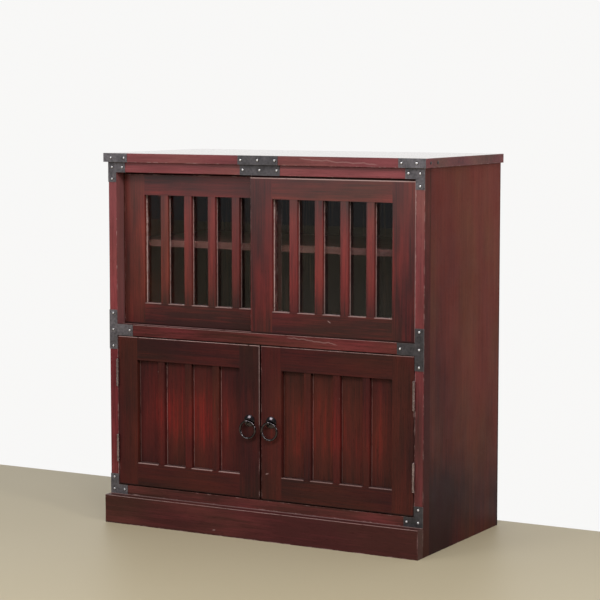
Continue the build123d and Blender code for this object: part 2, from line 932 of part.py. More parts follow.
def muntin_tenons(allowance):
    """Tenons at both ends of every bar; mortises get an allowance."""
    middle_y = front_y + (muntin_setback + panel_setback) / 2
    y_pair = (middle_y - bar_tenon_thickness / 2, middle_y + bar_tenon_thickness / 2)
    reach = bar_tenon_length + allowance
    tenons = []
    for left in muntin_places():
        x_pair = (left + bar_tenon_shoulder, left + muntin_width - bar_tenon_shoulder)
        for z_pair in (
            (leaf_recess_z[0] - reach, leaf_recess_z[0]),
            (leaf_recess_z[1], leaf_recess_z[1] + reach),
        ):
            tenons.append(slab(x_pair, y_pair, z_pair))
    return tenons


def make_leaf_rail(at_foot):
    """The lower or the upper rail, between the stiles."""
    z_low, z_high = leaf_rail_heights()[0 if at_foot else 1]
    rail = slab(leaf_recess_x, (front_y, leaf_door_back_y), (z_low, z_high))
    rail -= panel_outline(panel_groove_depth)
    tenon_z = leaf_tenon_z(z_low, z_high)
    rail += rail_tenon(leaf_recess_x[0], -1, panel_y, tenon_z, door_tenon_length)
    rail += rail_tenon(leaf_recess_x[1], 1, panel_y, tenon_z, door_tenon_length)
    for mortise in muntin_tenons(joint_end_play):
        rail -= mortise
    outer_z = z_low if at_foot else z_high
    return eased(rail, edge_radius, Axis.X, [(front_y, outer_z)])


def make_muntins():
    """The upright bars in front of the panel."""
    y_pair = (front_y + muntin_setback, front_y + panel_setback)
    tenons = muntin_tenons(0)
    bars = []
    for i, left in enumerate(muntin_places()):
        bar = slab((left, left + muntin_width), y_pair, leaf_recess_z)
        corners = [(left, y_pair[0]), (left + muntin_width, y_pair[0])]
        bar = eased(bar, edge_radius / 2, Axis.Z, corners)
        bars.append(bar + tenons[2 * i] + tenons[2 * i + 1])
    return group(bars)


def make_panel():
    """The panel, with one raised field between each pair of bars."""
    panel = panel_outline(panel_groove_depth - panel_end_play)
    lefts = [leaf_recess_x[0]] + [left + muntin_width for left in muntin_places()]
    rights = muntin_places() + [leaf_recess_x[1]]
    face_y = panel_y[0] - field_rise
    for left, right in zip(lefts, rights):
        field = slab(
            (left + field_gap, right - field_gap),
            (face_y, panel_y[0]),
            (leaf_recess_z[0] + field_gap, leaf_recess_z[1] - field_gap),
        )
        front_face = field.faces().sort_by(Axis.Y)[0]
        panel += chamfer(front_face.edges(), field_chamfer)
    return panel


def knuckle(z_low, z_high):
    """A solid knuckle on the hinge's axis, not yet bored."""
    middle = Pos(hinge_x, hinge_y, (z_low + z_high) / 2)
    return middle * Cylinder(hinge_knuckle_radius, z_high - z_low)


def hinge_leaf(start_z, on_frame):
    """One leaf of a butt hinge: the frame's has two knuckles, the door's has one."""
    half_gap = hinge_leaf_play / 2
    thickness = hinge_leaf_thickness
    if on_frame:
        x_pair = (hinge_x + half_gap, hinge_x + half_gap + thickness)
    else:
        x_pair = (hinge_x - half_gap - thickness, hinge_x - half_gap)
    leaf = slab(x_pair, (front_y, front_y + hinge_leaf_width), (start_z, start_z + hinge_length))
    third = hinge_length / 3
    for i in range(3):
        if (i == 1) == on_frame:
            continue
        low = start_z + i * third + hinge_knuckle_gap / 2
        high = start_z + (i + 1) * third - hinge_knuckle_gap / 2
        leaf += knuckle(low, high)
        leaf += slab(x_pair, (hinge_y, front_y), (low, high))
    bore = Pos(hinge_x, hinge_y, start_z + hinge_length / 2)
    bore *= Cylinder(hinge_pin_radius + hinge_pin_clearance, 2 * hinge_length)
    return leaf - bore


def make_hinge_leaves(on_frame):
    """The leaves of both hinges of the right door, for the frame or the door."""
    return group([hinge_leaf(start_z, on_frame) for start_z in hinge_starts])


def make_hinge_pins():
    """The loose pins of the right door's hinges, with rounded ends."""
    pins = []
    for start_z in hinge_starts:
        length = hinge_length + 2 * hinge_pin_overlength
        pin = Cylinder(hinge_pin_radius, length)
        pin = fillet(pin.edges().filter_by(GeomType.CIRCLE), hinge_pin_radius / 2)
        pins.append(Pos(hinge_x, hinge_y, start_z + hinge_length / 2) * pin)
    return group(pins)


def make_rosette():
    """The domed rosette, with a hole for the pin of the eye."""
    hole = eye_pin_radius + eye_pin_clearance
    dome_height = rosette_height - rosette_rim
    bulge = (rosette_radius**2 + dome_height**2) / (2 * dome_height)

    def dome_point(radius):
        """The dome's surface at a distance from the rosette's axis."""
        return (radius, bulge - rosette_height - math.sqrt(bulge**2 - radius**2))

    edge = (rosette_radius, -rosette_rim)
    lip = dome_point(hole)
    outline = [
        Line((hole, 0), (rosette_radius, 0)),
        Line((rosette_radius, 0), edge),
        ThreePointArc(edge, dome_point((hole + rosette_radius) / 2), lip),
        Line(lip, (hole, 0)),
    ]
    rosette = revolve(make_face(outline), axis=Axis.Y)
    return Pos(pull_x, front_y, pull_z) * rosette


def make_eye():
    """The eye of the pull, on a pin that goes through the rosette into the stile."""
    hole = ring_rod_radius + eye_clearance
    half_eye = eye_width / 2
    eye = rod_along_x(pull_x - half_eye, pull_x + half_eye, pull_y, pull_z, hole + eye_wall)
    eye += rod_along_y(pull_x, pull_y, front_y + eye_pin_depth, pull_z, eye_pin_radius)
    return eye - rod_along_x(pull_x - eye_width, pull_x + eye_width, pull_y, pull_z, hole)


def make_pull_mount():
    """What the ring hangs from: rosette and eye."""
    return group([make_rosette(), make_eye()])


def make_ring():
    """The ring, hanging from the eye."""
    middle = Pos(pull_x, pull_y, pull_z - ring_radius) * Rot(90, 0, 0)
    return middle * Torus(ring_radius, ring_rod_radius)


def make_strike_plate():
    """The steel plate behind the door that the catch holds."""
    top = leaf_door_top - strike_top_gap
    return slab(
        (pull_x - strike_width / 2, pull_x + strike_width / 2),
        (leaf_door_back_y, leaf_door_back_y + strike_thickness),
        (top - strike_height, top),
    )


def make_catch():
    """The magnetic catch under the sill rail."""
    start_y = leaf_door_back_y + strike_thickness + catch_play
    return slab(
        (pull_x - catch_width / 2, pull_x + catch_width / 2),
        (start_y, start_y + catch_depth),
        (sill_under - catch_height, sill_under),
    )


def hinged_door(side, turned):
    """All nodes of one hinged door; turned puts a right-hand piece on its side."""
    return {
        f"{side}_door_hinge_stile": turned(make_leaf_stile(True)),
        f"{side}_door_meeting_stile": turned(make_leaf_stile(False)),
        f"{side}_door_bottom_rail": turned(make_leaf_rail(True)),
        f"{side}_door_top_rail": turned(make_leaf_rail(False)),
        f"{side}_door_muntins": turned(make_muntins()),
        f"{side}_door_panel": turned(make_panel()),
        f"{side}_door_hinge_leaves": turned(make_hinge_leaves(False)),
        f"{side}_pull_rosette_and_eye": turned(make_pull_mount()),
        f"{side}_pull_ring": turned(make_ring()),
        f"{side}_door_strike_plate": turned(make_strike_plate()),
    }


# ------------------------------------------------------------------ assembly


def as_made(piece):
    """A right-hand piece stays where it is."""
    return piece


def carcase():
    """All nodes that stand still."""
    post = make_post()
    side = make_side()
    bottom_front = front_y + bottom_rail_depth
    return {
        "top_board": make_top_board(),
        "right_front_post": post,
        "left_front_post": mirrored(post),
        "right_side_board": side,
        "left_side_board": mirrored(side),
        "head_rail": make_head_rail(),
        "sill_rail": make_sill_rail(),
        "bottom_rail": make_bottom_rail(),
        "middle_deck": tongued_board(track_back_y, sill_top - board_thickness, sill_top),
        "bottom_board": tongued_board(
            bottom_front, bottom_rail_top - board_thickness, bottom_rail_top
        ),
        "plinth_board": make_plinth_board(),
        "plinth_bearer": make_plinth_bearer(),
        "rear_bearer": make_rear_bearer(),
        "rear_top_rail": make_rear_top_rail(),
        "back_panel": make_back_panel(),
        "upper_shelf": make_shelf(upper_shelf_top),
        "lower_shelf": make_shelf(lower_shelf_top),
        "shelf_pins": make_shelf_pins(),
        "top_board_plates": make_top_board_plates(),
        "head_rail_plates": make_head_rail_plates(),
        "tee_plates": make_tee_plates(),
        "base_corner_plates": make_base_corner_plates(),
        "plate_nails": make_plate_nails(),
        "frame_hinge_leaves": with_mirror(make_hinge_leaves(True)),
        "hinge_pins": with_mirror(make_hinge_pins()),
        "door_catches": with_mirror(make_catch()),
    }


nodes = carcase()
nodes.update(sliding_door("left", -inner_half + slider_side_gap, rear_slider_y))
nodes.update(sliding_door("right", inner_half - slider_side_gap - slider_width, front_slider_y))
nodes.update(hinged_door("left", mirrored))
nodes.update(hinged_door("right", as_made))

os.makedirs("parts", exist_ok=True)
for name, shape in nodes.items():
    export_step(shape, f"parts/{name}.step")

print("nodes", len(nodes))
print("sliding travel", slider_travel)
print("hinge axis", hinge_x, hinge_y)
print("ring axis", pull_x, pull_y, pull_z)
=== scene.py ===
"""The looks of a low mizuya kitchen cabinet, built round the frame that holds its solids.

Everything is in metres, in the frame's own axes: the front faces -Y and +Z is up.
"""

import math
from dataclasses import dataclass, replace
from typing import Callable

import bmesh
import bpy
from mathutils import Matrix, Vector


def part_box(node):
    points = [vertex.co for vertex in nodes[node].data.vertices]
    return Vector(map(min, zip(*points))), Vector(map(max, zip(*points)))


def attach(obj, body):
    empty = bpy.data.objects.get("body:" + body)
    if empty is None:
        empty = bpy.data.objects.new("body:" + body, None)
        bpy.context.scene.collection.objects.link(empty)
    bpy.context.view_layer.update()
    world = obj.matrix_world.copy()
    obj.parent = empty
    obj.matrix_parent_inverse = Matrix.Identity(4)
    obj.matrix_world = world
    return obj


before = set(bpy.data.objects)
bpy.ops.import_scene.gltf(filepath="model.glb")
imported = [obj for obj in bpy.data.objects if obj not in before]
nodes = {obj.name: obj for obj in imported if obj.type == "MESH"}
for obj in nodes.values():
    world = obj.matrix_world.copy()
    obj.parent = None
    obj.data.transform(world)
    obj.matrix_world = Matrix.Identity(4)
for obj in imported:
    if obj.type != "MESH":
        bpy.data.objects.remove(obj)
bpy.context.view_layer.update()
MM = 0.001

# ------------------------------------------------------------------ camera

CAMERA_PLACE = (2.1333, -3.7777, 0.9281)
CAMERA_YAW = 29.474      # degrees, the camera looks towards -X and +Y
CAMERA_PITCH = 5.814     # degrees below the horizon
CAMERA_LENS = 122.08
SENSOR_WIDTH = 36.0


def add_camera():
    data = bpy.data.cameras.new("camera")
    data.lens = CAMERA_LENS
    data.sensor_width = SENSOR_WIDTH
    camera = bpy.data.objects.new("camera", data)
    camera.location = CAMERA_PLACE
    camera.rotation_euler = (math.radians(90 - CAMERA_PITCH), 0, math.radians(CAMERA_YAW))
    bpy.context.scene.collection.objects.link(camera)
    bpy.context.scene.camera = camera


# ------------------------------------------------------------------ node trees

ARRIS_SAMPLES = 6


class Tree:
    """A node tree, built by short calls that take numbers or sockets and return sockets. A mask
    is a value that is 1 where something is and 0 where it isn't.
    """

    def __init__(self, owner):
        owner.use_nodes = True
        self.tree = owner.node_tree
        self.tree.nodes.clear()

    def node(self, kind, given=None, **settings):
        made = self.tree.nodes.new("ShaderNode" + kind)
        for name, setting in settings.items():
            setattr(made, name, setting)
        for key, value in (given or {}).items():
            if isinstance(value, bpy.types.NodeSocket):
                self.tree.links.new(value, made.inputs[key])
            else:
                made.inputs[key].default_value = value
        return made

    def calc(self, operation, first, second=0.0):
        return self.node("Math", {0: first, 1: second}, operation=operation).outputs[0]

    def fold(self, operation, terms):
        total = terms[0]
        for term in terms[1:]:
            total = self.calc(operation, total, term)
        return total

    def add(self, *terms):
        return self.fold("ADD", terms)

    def times(self, *terms):
        """The product of the terms, which for masks is where all of them are."""
        return self.fold("MULTIPLY", terms)

    def less(self, first, second):
        return self.calc("SUBTRACT", first, second)

    def either(self, *masks):
        return self.fold("MAXIMUM", masks)

    def flipped(self, mask):
        return self.less(1.0, mask)

    def between(self, value, low, high):
        above = self.calc("GREATER_THAN", value, low)
        return self.times(above, self.calc("LESS_THAN", value, high))

    def centred(self, value, amount):
        """A value from 0 to 1 as a change of up to half the amount either way."""
        return self.times(self.less(value, 0.5), amount)

    def smooth(self, value, low, high, to_low=0.0, to_high=1.0):
        """Smoothly from to_low where the value is low to to_high where it is high."""
        given = {0: value, 1: low, 2: high, 3: to_low, 4: to_high}
        return self.node("MapRange", given, interpolation_type="SMOOTHSTEP").outputs[0]

    def mixed(self, share, first, second, blend="MIX"):
        """Two colours mixed. The colours are the mix node's inputs 6 and 7 and its output 2."""
        given = {0: share, 6: first, 7: second}
        settings = {"data_type": "RGBA", "blend_type": blend, "clamp_factor": True}
        return self.node("Mix", given, **settings).outputs[2]

    def noise(self, vector, scale, detail=2.0, roughness=0.5):
        given = {"Vector": vector, "Scale": scale, "Detail": detail, "Roughness": roughness}
        return self.node("TexNoise", given).outputs[0]

    def scaled(self, vector, factors):
        given = {0: vector, 1: factors}
        return self.node("VectorMath", given, operation="MULTIPLY").outputs[0]

    def moved(self, vector, offset):
        return self.node("VectorMath", {0: vector, 1: offset}, operation="ADD").outputs[0]

    def apart(self, vector):
        return self.node("SeparateXYZ", {0: vector}).outputs[:3]

    def together(self, x, y, z):
        return self.node("CombineXYZ", {0: x, 1: y, 2: z}).outputs[0]

    def ramp(self, value, colours):
        """A colour ramp over evenly spaced colours."""
        made = self.node("ValToRGB", {0: value})
        elements = made.color_ramp.elements
        while len(elements) < len(colours):
            elements.new(1.0)
        for index, colour in enumerate(colours):
            elements[index].position = index / (len(colours) - 1)
            elements[index].color = (*colour, 1)
        return made.outputs[0]

    def place(self):
        return self.node("TexCoord").outputs["Object"]

    def axes(self):
        """The x, y and z of the place."""
        return self.apart(self.place())

    def normal_axes(self):
        """The x, y and z of the normal."""
        return self.apart(self.node("TexCoord").outputs["Normal"])

    def bump(self, height, depth, strength):
        given = {"Strength": strength, "Distance": depth, "Height": height}
        return self.node("Bump", given).outputs[0]

    def arris(self, reach):
        """1 on outside edges of the piece, falling to 0 at the reach from them."""
        settings = {"inside": True, "only_local": True, "samples": ARRIS_SAMPLES}
        open_share = self.node("AmbientOcclusion", {"Distance": reach}, **settings)
        return self.flipped(open_share.outputs["AO"])

    def surface(self, shader):
        self.node("OutputMaterial", {"Surface": shader})

    def principled(self, given):
        """Makes a principled shader with the given inputs the surface."""
        self.surface(self.node("BsdfPrincipled", given).outputs[0])


def material(name):
    made = bpy.data.materials.new(name)
    return made, Tree(made)


# ------------------------------------------------------------------ wood

GRAIN_ORDER = {"x": (2, 1, 0), "y": (0, 2, 1), "z": (0, 1, 2)}
SEED_SHIFT = (0.37, 0.53, 1.19)

# Stains, each from its dark shading over its middle to its brightest red.
CASE_STAIN = ((0.052, 0.017, 0.014), (0.150, 0.034, 0.033), (0.260, 0.072, 0.068))
SLIDER_STAIN = ((0.042, 0.018, 0.016), (0.115, 0.024, 0.020), (0.220, 0.038, 0.028))
HINGED_STAIN = ((0.029, 0.0105, 0.0092), (0.076, 0.0150, 0.0115), (0.230, 0.019, 0.014))
TOP_STAIN = ((0.062, 0.028, 0.028), (0.152, 0.053, 0.050), (0.240, 0.085, 0.080))
SIDE_STAIN = ((0.030, 0.0110, 0.0110), (0.116, 0.0310, 0.0208), (0.190, 0.057, 0.037))
INNER_STAIN = ((0.030, 0.013, 0.012), (0.090, 0.031, 0.029), (0.170, 0.064, 0.057))
PLY_STAIN = ((0.026, 0.018, 0.017), (0.180, 0.100, 0.058), (0.250, 0.150, 0.090))
# bare wood, also the colour of painted highlights and haze
WORN_AND_LIT_WOOD = (0.415, 0.280, 0.265, 1)
# wood the stain missed, also the colour of a painted highlight beside the glass
PALE_AND_LIT_WOOD = (0.720, 0.570, 0.530, 1)
PORE_SHADE = (0.35, 0.30, 0.30, 1)
CRIMSON = (1.05, 0.85, 1.00, 1)      # the stain drifts between these two tints
BROWN = (0.96, 1.09, 0.98, 1)
RING_SPACING = 6 * MM
PITH_DEPTH = 90 * MM
PORE_DEPTH = 0.12 * MM
ARRIS_REACH = 2.4 * MM


def board_place(tree, grain, seed):
    """The place on a piece with its grain along Z, shifted so that no two pieces match."""
    axes = tree.axes()
    turned = tree.together(*(axes[index] for index in GRAIN_ORDER[grain]))
    return tree.moved(turned, [shift * seed for shift in SEED_SHIFT])


def growth_rings(tree, place):
    """Rings round a pith that lies behind the board and leans away from its grain."""
    across, depth, along = tree.apart(place)
    warp = tree.noise(tree.scaled(place, (1, 1, 0.12)), 9.0)
    lean = tree.times(tree.noise(tree.together(0, 0, along), 1.3), 2.2 * PITH_DEPTH)
    sideways = tree.noise(tree.together(across, depth, 0), 3.0)
    from_pith = tree.together(sideways, tree.add(lean, tree.centred(warp, 0.05)), 0)
    reach = tree.node("VectorMath", {0: tree.scaled(from_pith, (0.25, 1, 1))}, operation="LENGTH")
    turns = tree.calc("DIVIDE", reach.outputs["Value"], RING_SPACING)
    return tree.calc("PINGPONG", turns, 0.5)


def facing(tree, axis, sign=1):
    """A mask of the faces that look along the axis, or against it for a sign of -1."""
    component = tree.normal_axes()["xyz".index(axis)]
    return tree.smooth(tree.times(component, sign), 0.5, 0.9)


def front_face(tree):
    return facing(tree, "y", -1)


def upper_face(tree):
    return facing(tree, "z")


def worn_patches(tree, wear):
    """Where a hand or a cloth has rubbed the lacquer: hardly anywhere for a wear of 0, nearly all
    over for 1.5.
    """
    patches = tree.noise(tree.place(), 55.0, detail=4.0, roughness=0.7)
    return tree.smooth(patches, 0.62 - 0.3 * wear, 0.80 - 0.3 * wear)


def specks(tree, scale, low, least):
    """How much there is of a broken mark, from the least share to all of it, and more of it for a
    lower low.
    """
    return tree.smooth(tree.noise(tree.place(), scale, detail=3.0), low, 0.50, least, 1.0)


@dataclass
class Look:
    """What sets one board apart. Each mark is a function of the tree, or None for no such mark."""

    stain: tuple
    grain: str                 # the axis that the grain runs along
    tone: float = 0.5          # how far up its stain the wood is
    wear: float = 0.5          # how much of its arrises is rubbed
    contrast: float = 0.6      # of the grain
    gloss: float = 0.38        # roughness of the stained wood
    shine: float = 0.2         # specular level of the stained wood
    coat_gloss: float = 0.36   # roughness of the clear lacquer
    redder: float = 0.0        # how far its hue is moved towards crimson
    keep: Callable = None      # mark: where arrises may wear
    darker: Callable = None    # mark: how much lower in its stain the wood is, for stain shading and painted shade
    bare_and_lit: Callable = None      # mark: worn wood, and painted highlight and haze on a few edges and faces
    pale_and_lit: Callable = None      # mark: wood that the stain never reached, painted pale also as a highlight
    coat: Callable = None      # mark: clear lacquer over the stain


def drifting_hue(tree, place, colour, redder):
    """The stain's colour, crimson in some places and brown in others, or all of it redder."""
    clouds = tree.noise(tree.scaled(place, (1, 1, 0.4)), 8.0)
    tint = tree.mixed(tree.smooth(clouds, 0.34 + redder, 0.66 + redder), CRIMSON, BROWN)
    return tree.mixed(1.0, colour, tint, "MULTIPLY")


def stain_level(tree, place, look, fibres):
    """How far up its stain the wood is, from its rings, streaks, bands, fibres and clouds."""
    streaks = tree.noise(tree.scaled(place, (1, 1, 0.040)), 110.0, detail=3.0, roughness=0.55)
    bands = tree.noise(tree.scaled(place, (1, 1, 0.028)), 290.0, roughness=0.6)
    clouds = tree.noise(tree.scaled(place, (1, 1, 0.35)), 13.0, detail=3.0)
    level = tree.add(
        look.tone,
        tree.centred(growth_rings(tree, place), 0.22 * look.contrast),
        tree.centred(streaks, 1.10 * look.contrast),
        tree.centred(bands, 0.90 * look.contrast),
        tree.centred(fibres, 0.70 * look.contrast),
        tree.centred(clouds, 0.35 + 0.75 * look.contrast),
    )
    if look.darker:
        level = tree.less(level, look.darker(tree))
    return level


def worn_and_lit_wood(tree, look):
    """Where the wood is bare, and painted pale as highlight and haze: its rubbed arrises and marks."""
    arrises = tree.smooth(tree.arris(ARRIS_REACH), 0.12, 0.42)
    worn_and_lit = tree.times(arrises, worn_patches(tree, look.wear))
    if look.keep:
        worn_and_lit = tree.times(worn_and_lit, look.keep(tree))
    if look.bare_and_lit:
        worn_and_lit = tree.either(worn_and_lit, look.bare_and_lit(tree))
    return worn_and_lit


def wood(name, look, seed):
    """Stained and lacquered wood with its pores along the grain and worn arrises."""
    made, tree = material(name)
    place = board_place(tree, look.grain, seed)
    fibres = tree.noise(tree.scaled(place, (1, 1, 0.02)), 640.0, detail=3.0, roughness=0.65)
    pore_noise = tree.noise(tree.scaled(place, (1, 1, 0.045)), 1500.0, detail=1.0)
    pores = tree.smooth(pore_noise, 0.60, 0.72)
    stain = tree.ramp(stain_level(tree, place, look, fibres), look.stain)
    colour = drifting_hue(tree, place, stain, look.redder)
    colour = tree.mixed(tree.times(pores, 0.55), colour, PORE_SHADE, "MULTIPLY")
    # bare wood, and painted highlight and haze in its colour
    worn_and_lit = worn_and_lit_wood(tree, look)
    colour = tree.mixed(tree.times(worn_and_lit, 0.8), colour, WORN_AND_LIT_WOOD)
    # pale wood the stain missed, with painted highlight in the same colour
    if look.pale_and_lit:
        colour = tree.mixed(look.pale_and_lit(tree), colour, PALE_AND_LIT_WOOD)

    haze = tree.noise(tree.place(), 23.0, detail=3.0)
    rough = tree.add(look.gloss, tree.centred(haze, 0.2), tree.centred(fibres, 0.2),
                     tree.times(worn_and_lit, 0.2), tree.times(pores, 0.12))
    height = tree.less(tree.times(fibres, 0.5), pores)
    given = {
        "Base Color": colour,
        "Roughness": rough,
        "Normal": tree.bump(height, PORE_DEPTH, 0.5),
        "Specular IOR Level": look.shine,
        "Coat Roughness": look.coat_gloss,
    }
    if look.coat:
        given["Coat Weight"] = look.coat(tree)
    tree.principled(given)
    return made


# ------------------------------------------------------------------ marks on any board

FIGURE_SHARE = 0.30
SCRATCH_SHARE = 0.55
LINE_FADE = 12 * MM        # over which a pale line begins and ends
CASE_HALF = 0.35           # nearly half the case's width
LACQUER_FROM = 0.42        # the height from which the front is more and more lacquered
LACQUER_TO = 0.80          # the height up to which it is


def pale_line(tree, start, end, height, slope, share, swing, waves):
    """A pale line on the front that rises with its slope from a height at its start."""
    x, _, z = tree.axes()
    along = tree.less(x, start)
    wander = tree.centred(tree.noise(tree.together(x, 0, 0), waves, detail=3.0), swing)
    line = tree.add(height, tree.times(along, slope), wander)
    off_line = tree.calc("ABSOLUTE", tree.less(z, line))
    near = tree.smooth(off_line, 0.5 * MM, 1.8 * MM, share, 0.0)
    fade = min(LINE_FADE, (end - start) / 3)
    begun = tree.smooth(x, start, start + fade)
    ended = tree.smooth(x, end - fade, end, 1.0, 0.0)
    return tree.times(near, begun, ended, front_face(tree))


def pale_figure(tree, start, end, height, slope):
    """A pale line of figure that wanders along a board between two places on its length."""
    return pale_line(tree, start, end, height, slope, FIGURE_SHARE, swing=12 * MM, waves=35.0)


def scratch(tree, x, z, slope, length=9 * MM):
    """A short scratch through the stain, centred on a place of the front."""
    return pale_line(tree, x - length / 2, x + length / 2, z - slope * length / 2, slope,
                     SCRATCH_SHARE, swing=2.5 * MM, waves=260.0)


def worn_top(tree, top, width, share):
    """Bare wood along the top arris of a rail's front, down to the width below it."""
    near = tree.smooth(tree.axes()[2], top - width, top - 0.6 * width, 0.0, share)
    return tree.times(near, front_face(tree), worn_patches(tree, 1.2))


def painted_foot_shade(tree, depth, start=0.05, end=0.70):
    """Painted shade towards the floor: by the depth up to the start, less and less up to the end."""
    return tree.smooth(tree.axes()[2], start, end, depth, 0.0)


def painted_top_shade(tree):
    """How much darker the top of a rail is: painted shade in the gap under the doors."""
    return tree.times(upper_face(tree), 0.6)


def rising_to_right(tree, amount):
    """An amount that grows from none at the left end of the case to its whole at the right."""
    return tree.smooth(tree.axes()[0], -CASE_HALF, CASE_HALF, 0.0, amount)


def lacquer(foot_share, top_share, shoulder=1.0):
    """The mark of clear lacquer on the front, as a share that grows from the foot of the case to
    its top, up to the height of a shoulder.
    """
    def weight(tree):
        z = tree.axes()[2]
        front = tree.times(front_face(tree), tree.calc("LESS_THAN", z, shoulder))
        return tree.times(front, tree.smooth(z, LACQUER_FROM, LACQUER_TO, foot_share, top_share))
    return weight


# ------------------------------------------------------------------ marks on the doors

JOINT_MARGIN = 3 * MM      # how far the arris of a piece is hidden beside a glued joint
EDGE_MARGIN = 4 * MM       # how near the outline of a door its arrises wear
STRIP_WIDTH = 4.5 * MM     # pale wood and painted highlight beside the glass
FIELD_EDGE = 3.4 * MM      # from a bar to where the painted highlight on the edge of a raised field ends
STAIN_WAVER = 0.05         # how unevenly the dark edges of a door's stain run


def box_round(names):
    """The box round several nodes, as its lowest and highest corner."""
    boxes = [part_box(name) for name in names]
    low = Vector(min(box[0][axis] for box in boxes) for axis in range(3))
    high = Vector(max(box[1][axis] for box in boxes) for axis in range(3))
    return low, high


class Door:
    """Where a door, its opening and the bars in it are, and how its stain fades to the edges. A
    face gives the heights between the door's tongues, if it has any.
    """

    def __init__(self, prefix, stiles, bar_count, bar_width, fade_x, fade_z, face=None):
        rails = ("bottom_rail", "top_rail")
        self.low, self.high = box_round([prefix + part for part in stiles + rails])
        if face:
            self.low.z, self.high.z = face
        boxes = sorted((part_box(prefix + part) for part in stiles), key=lambda box: box[0].x)
        self.left, self.right = boxes[0][1].x, boxes[1][0].x
        self.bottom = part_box(prefix + "bottom_rail")[1].z
        self.gap = (self.right - self.left - bar_count * bar_width) / (bar_count + 1)
        self.pitch = self.gap + bar_width
        self.fade_x, self.fade_z = fade_x, fade_z


def burst(tree, door, depth):
    """How much darker a door is: not at all in its red middle, by the depth at its edges."""
    x, _, z = tree.axes()
    cloud = tree.centred(tree.noise(tree.place(), 14.0, detail=3.0), STAIN_WAVER)
    inside = []
    for value, start, end, fade in (
        (x, door.low.x, door.high.x, door.fade_x),
        (z, door.low.z, door.high.z, door.fade_z),
    ):
        nearest = tree.calc("MINIMUM", tree.less(value, start), tree.less(end, value))
        inside.append(tree.smooth(tree.add(nearest, cloud), *fade))
    return tree.times(tree.flipped(tree.times(*inside)), depth)


def painted_gap_shade(tree, door):
    """Painted shade in a door's gaps: just above its foot, and on the tongue over its shoulder."""
    z = tree.axes()[2]
    foot = tree.smooth(z, door.low.z + 1.0 * MM, door.low.z + 2.6 * MM, 0.7, 0.0)
    tongue = tree.smooth(z, door.high.z + 0.2 * MM, door.high.z + 0.8 * MM, 0.0, 1.0)
    return tree.add(foot, tongue)


def door_outline(tree, door):
    """A mask of the top and the sides of a door, where its arrises wear, but not of its joints."""
    x, _, z = tree.axes()
    across = tree.between(x, door.low.x + EDGE_MARGIN, door.high.x - EDGE_MARGIN)
    below = tree.calc("LESS_THAN", z, door.high.z - EDGE_MARGIN)
    outline = tree.times(tree.flipped(tree.times(across, below)),
                         tree.calc("GREATER_THAN", z, door.low.z + EDGE_MARGIN))
    for joint in (door.left, door.right):
        at_joint = tree.between(x, joint - JOINT_MARGIN, joint + JOINT_MARGIN)
        outline = tree.times(outline, tree.flipped(at_joint))
    return outline


def across_piece(tree, name, at_left, at_right):
    """How much darker a piece is, from one amount on its left to another on its right."""
    low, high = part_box(name)
    return tree.smooth(tree.axes()[0], low.x, high.x, at_left, at_right)


def across_stile(tree, name, door, depth):
    """How much darker a stile is on its left side, and how much lighter on its right, less and
    less towards the door's foot, and lighter at its top.
    """
    z = tree.axes()[2]
    slope = tree.times(across_piece(tree, name, depth, -depth),
                       tree.smooth(z, door.low.z + 30 * MM, door.low.z + 90 * MM))
    top = tree.smooth(z, door.high.z - 90 * MM, door.high.z - 10 * MM, 0.0, -1.2 * depth)
    return tree.add(slope, top)


def low_bars(tree, door):
    """How much darker the bars of a door are just above its bottom rail."""
    return tree.smooth(tree.axes()[2], door.bottom + 10 * MM, door.bottom + 75 * MM, 0.14, 0.0)


def along_pitch(tree, door, x):
    """How far the place is to the right of the bar before it, as a share of the bars' pitch."""
    return tree.calc("FRACT", tree.calc("DIVIDE", tree.less(x, door.left), door.pitch))


def in_gaps(tree, door):
    """A mask of the gaps between the bars of a door."""
    x = tree.axes()[0]
    off_bar = tree.calc("LESS_THAN", along_pitch(tree, door, x), door.gap / door.pitch)
    return tree.times(off_bar, tree.between(x, door.left, door.right))


def worn_outline(tree, door, width, right_edge_from=None):
    """Bare wood along the top of a door's face, and down its right-hand edge to a height."""
    x, _, z = tree.axes()
    from_top = tree.less(door.high.z, z)
    near = tree.times(tree.smooth(from_top, 0.6 * width, width, 1.0, 0.0),
                      tree.calc("GREATER_THAN", from_top, -0.1 * MM))
    if right_edge_from is not None:
        from_right = tree.less(door.high.x, x)
        beside = tree.smooth(from_right, 0.4 * width, 0.9 * width, 0.8, 0.0)
        above = tree.smooth(z, right_edge_from, right_edge_from + 40 * MM)
        near = tree.either(near, tree.times(beside, above))
    return tree.times(near, front_face(tree), worn_patches(tree, 1.2))


def worn_sill(tree, door, depth, share=1.0):
    """Bare wood along the arris under each gap of a door, down to the depth below it."""
    _, y, z = tree.axes()
    near = tree.smooth(z, door.bottom - depth, door.bottom - 0.5 * depth, 0.0, share)
    front = door.low.y
    rubbed = tree.smooth(y, front + 3 * MM, front + 6 * MM, 1.0, 0.25)
    return tree.times(near, rubbed, in_gaps(tree, door), worn_patches(tree, 1.4))


def field_edge_highlight(tree, door, share):
    """Painted highlight, pale as bare wood, on the left edge of each raised field between the bars of
    a door.
    """
    x = tree.axes()[0]
    from_bar = tree.times(along_pitch(tree, door, x), door.pitch)
    near = tree.smooth(from_bar, 0.7 * FIELD_EDGE, FIELD_EDGE, share, 0.0)
    some = tree.smooth(tree.noise(tree.together(x, 0, 0), 11.0), 0.38, 0.60, 0.25, 1.0)
    broken = tree.times(specks(tree, 60.0, 0.35, 0.45), some)
    return tree.times(near, broken, front_face(tree))


def field_foot_wear_and_highlight(tree, share):
    """Bare wood along the chamfers at the foot of the raised fields, and painted highlight there."""
    upward = tree.normal_axes()[2]
    return tree.times(tree.smooth(upward, -0.6, -0.4, share, 0.0), specks(tree, 60.0, 0.35, 0.3))


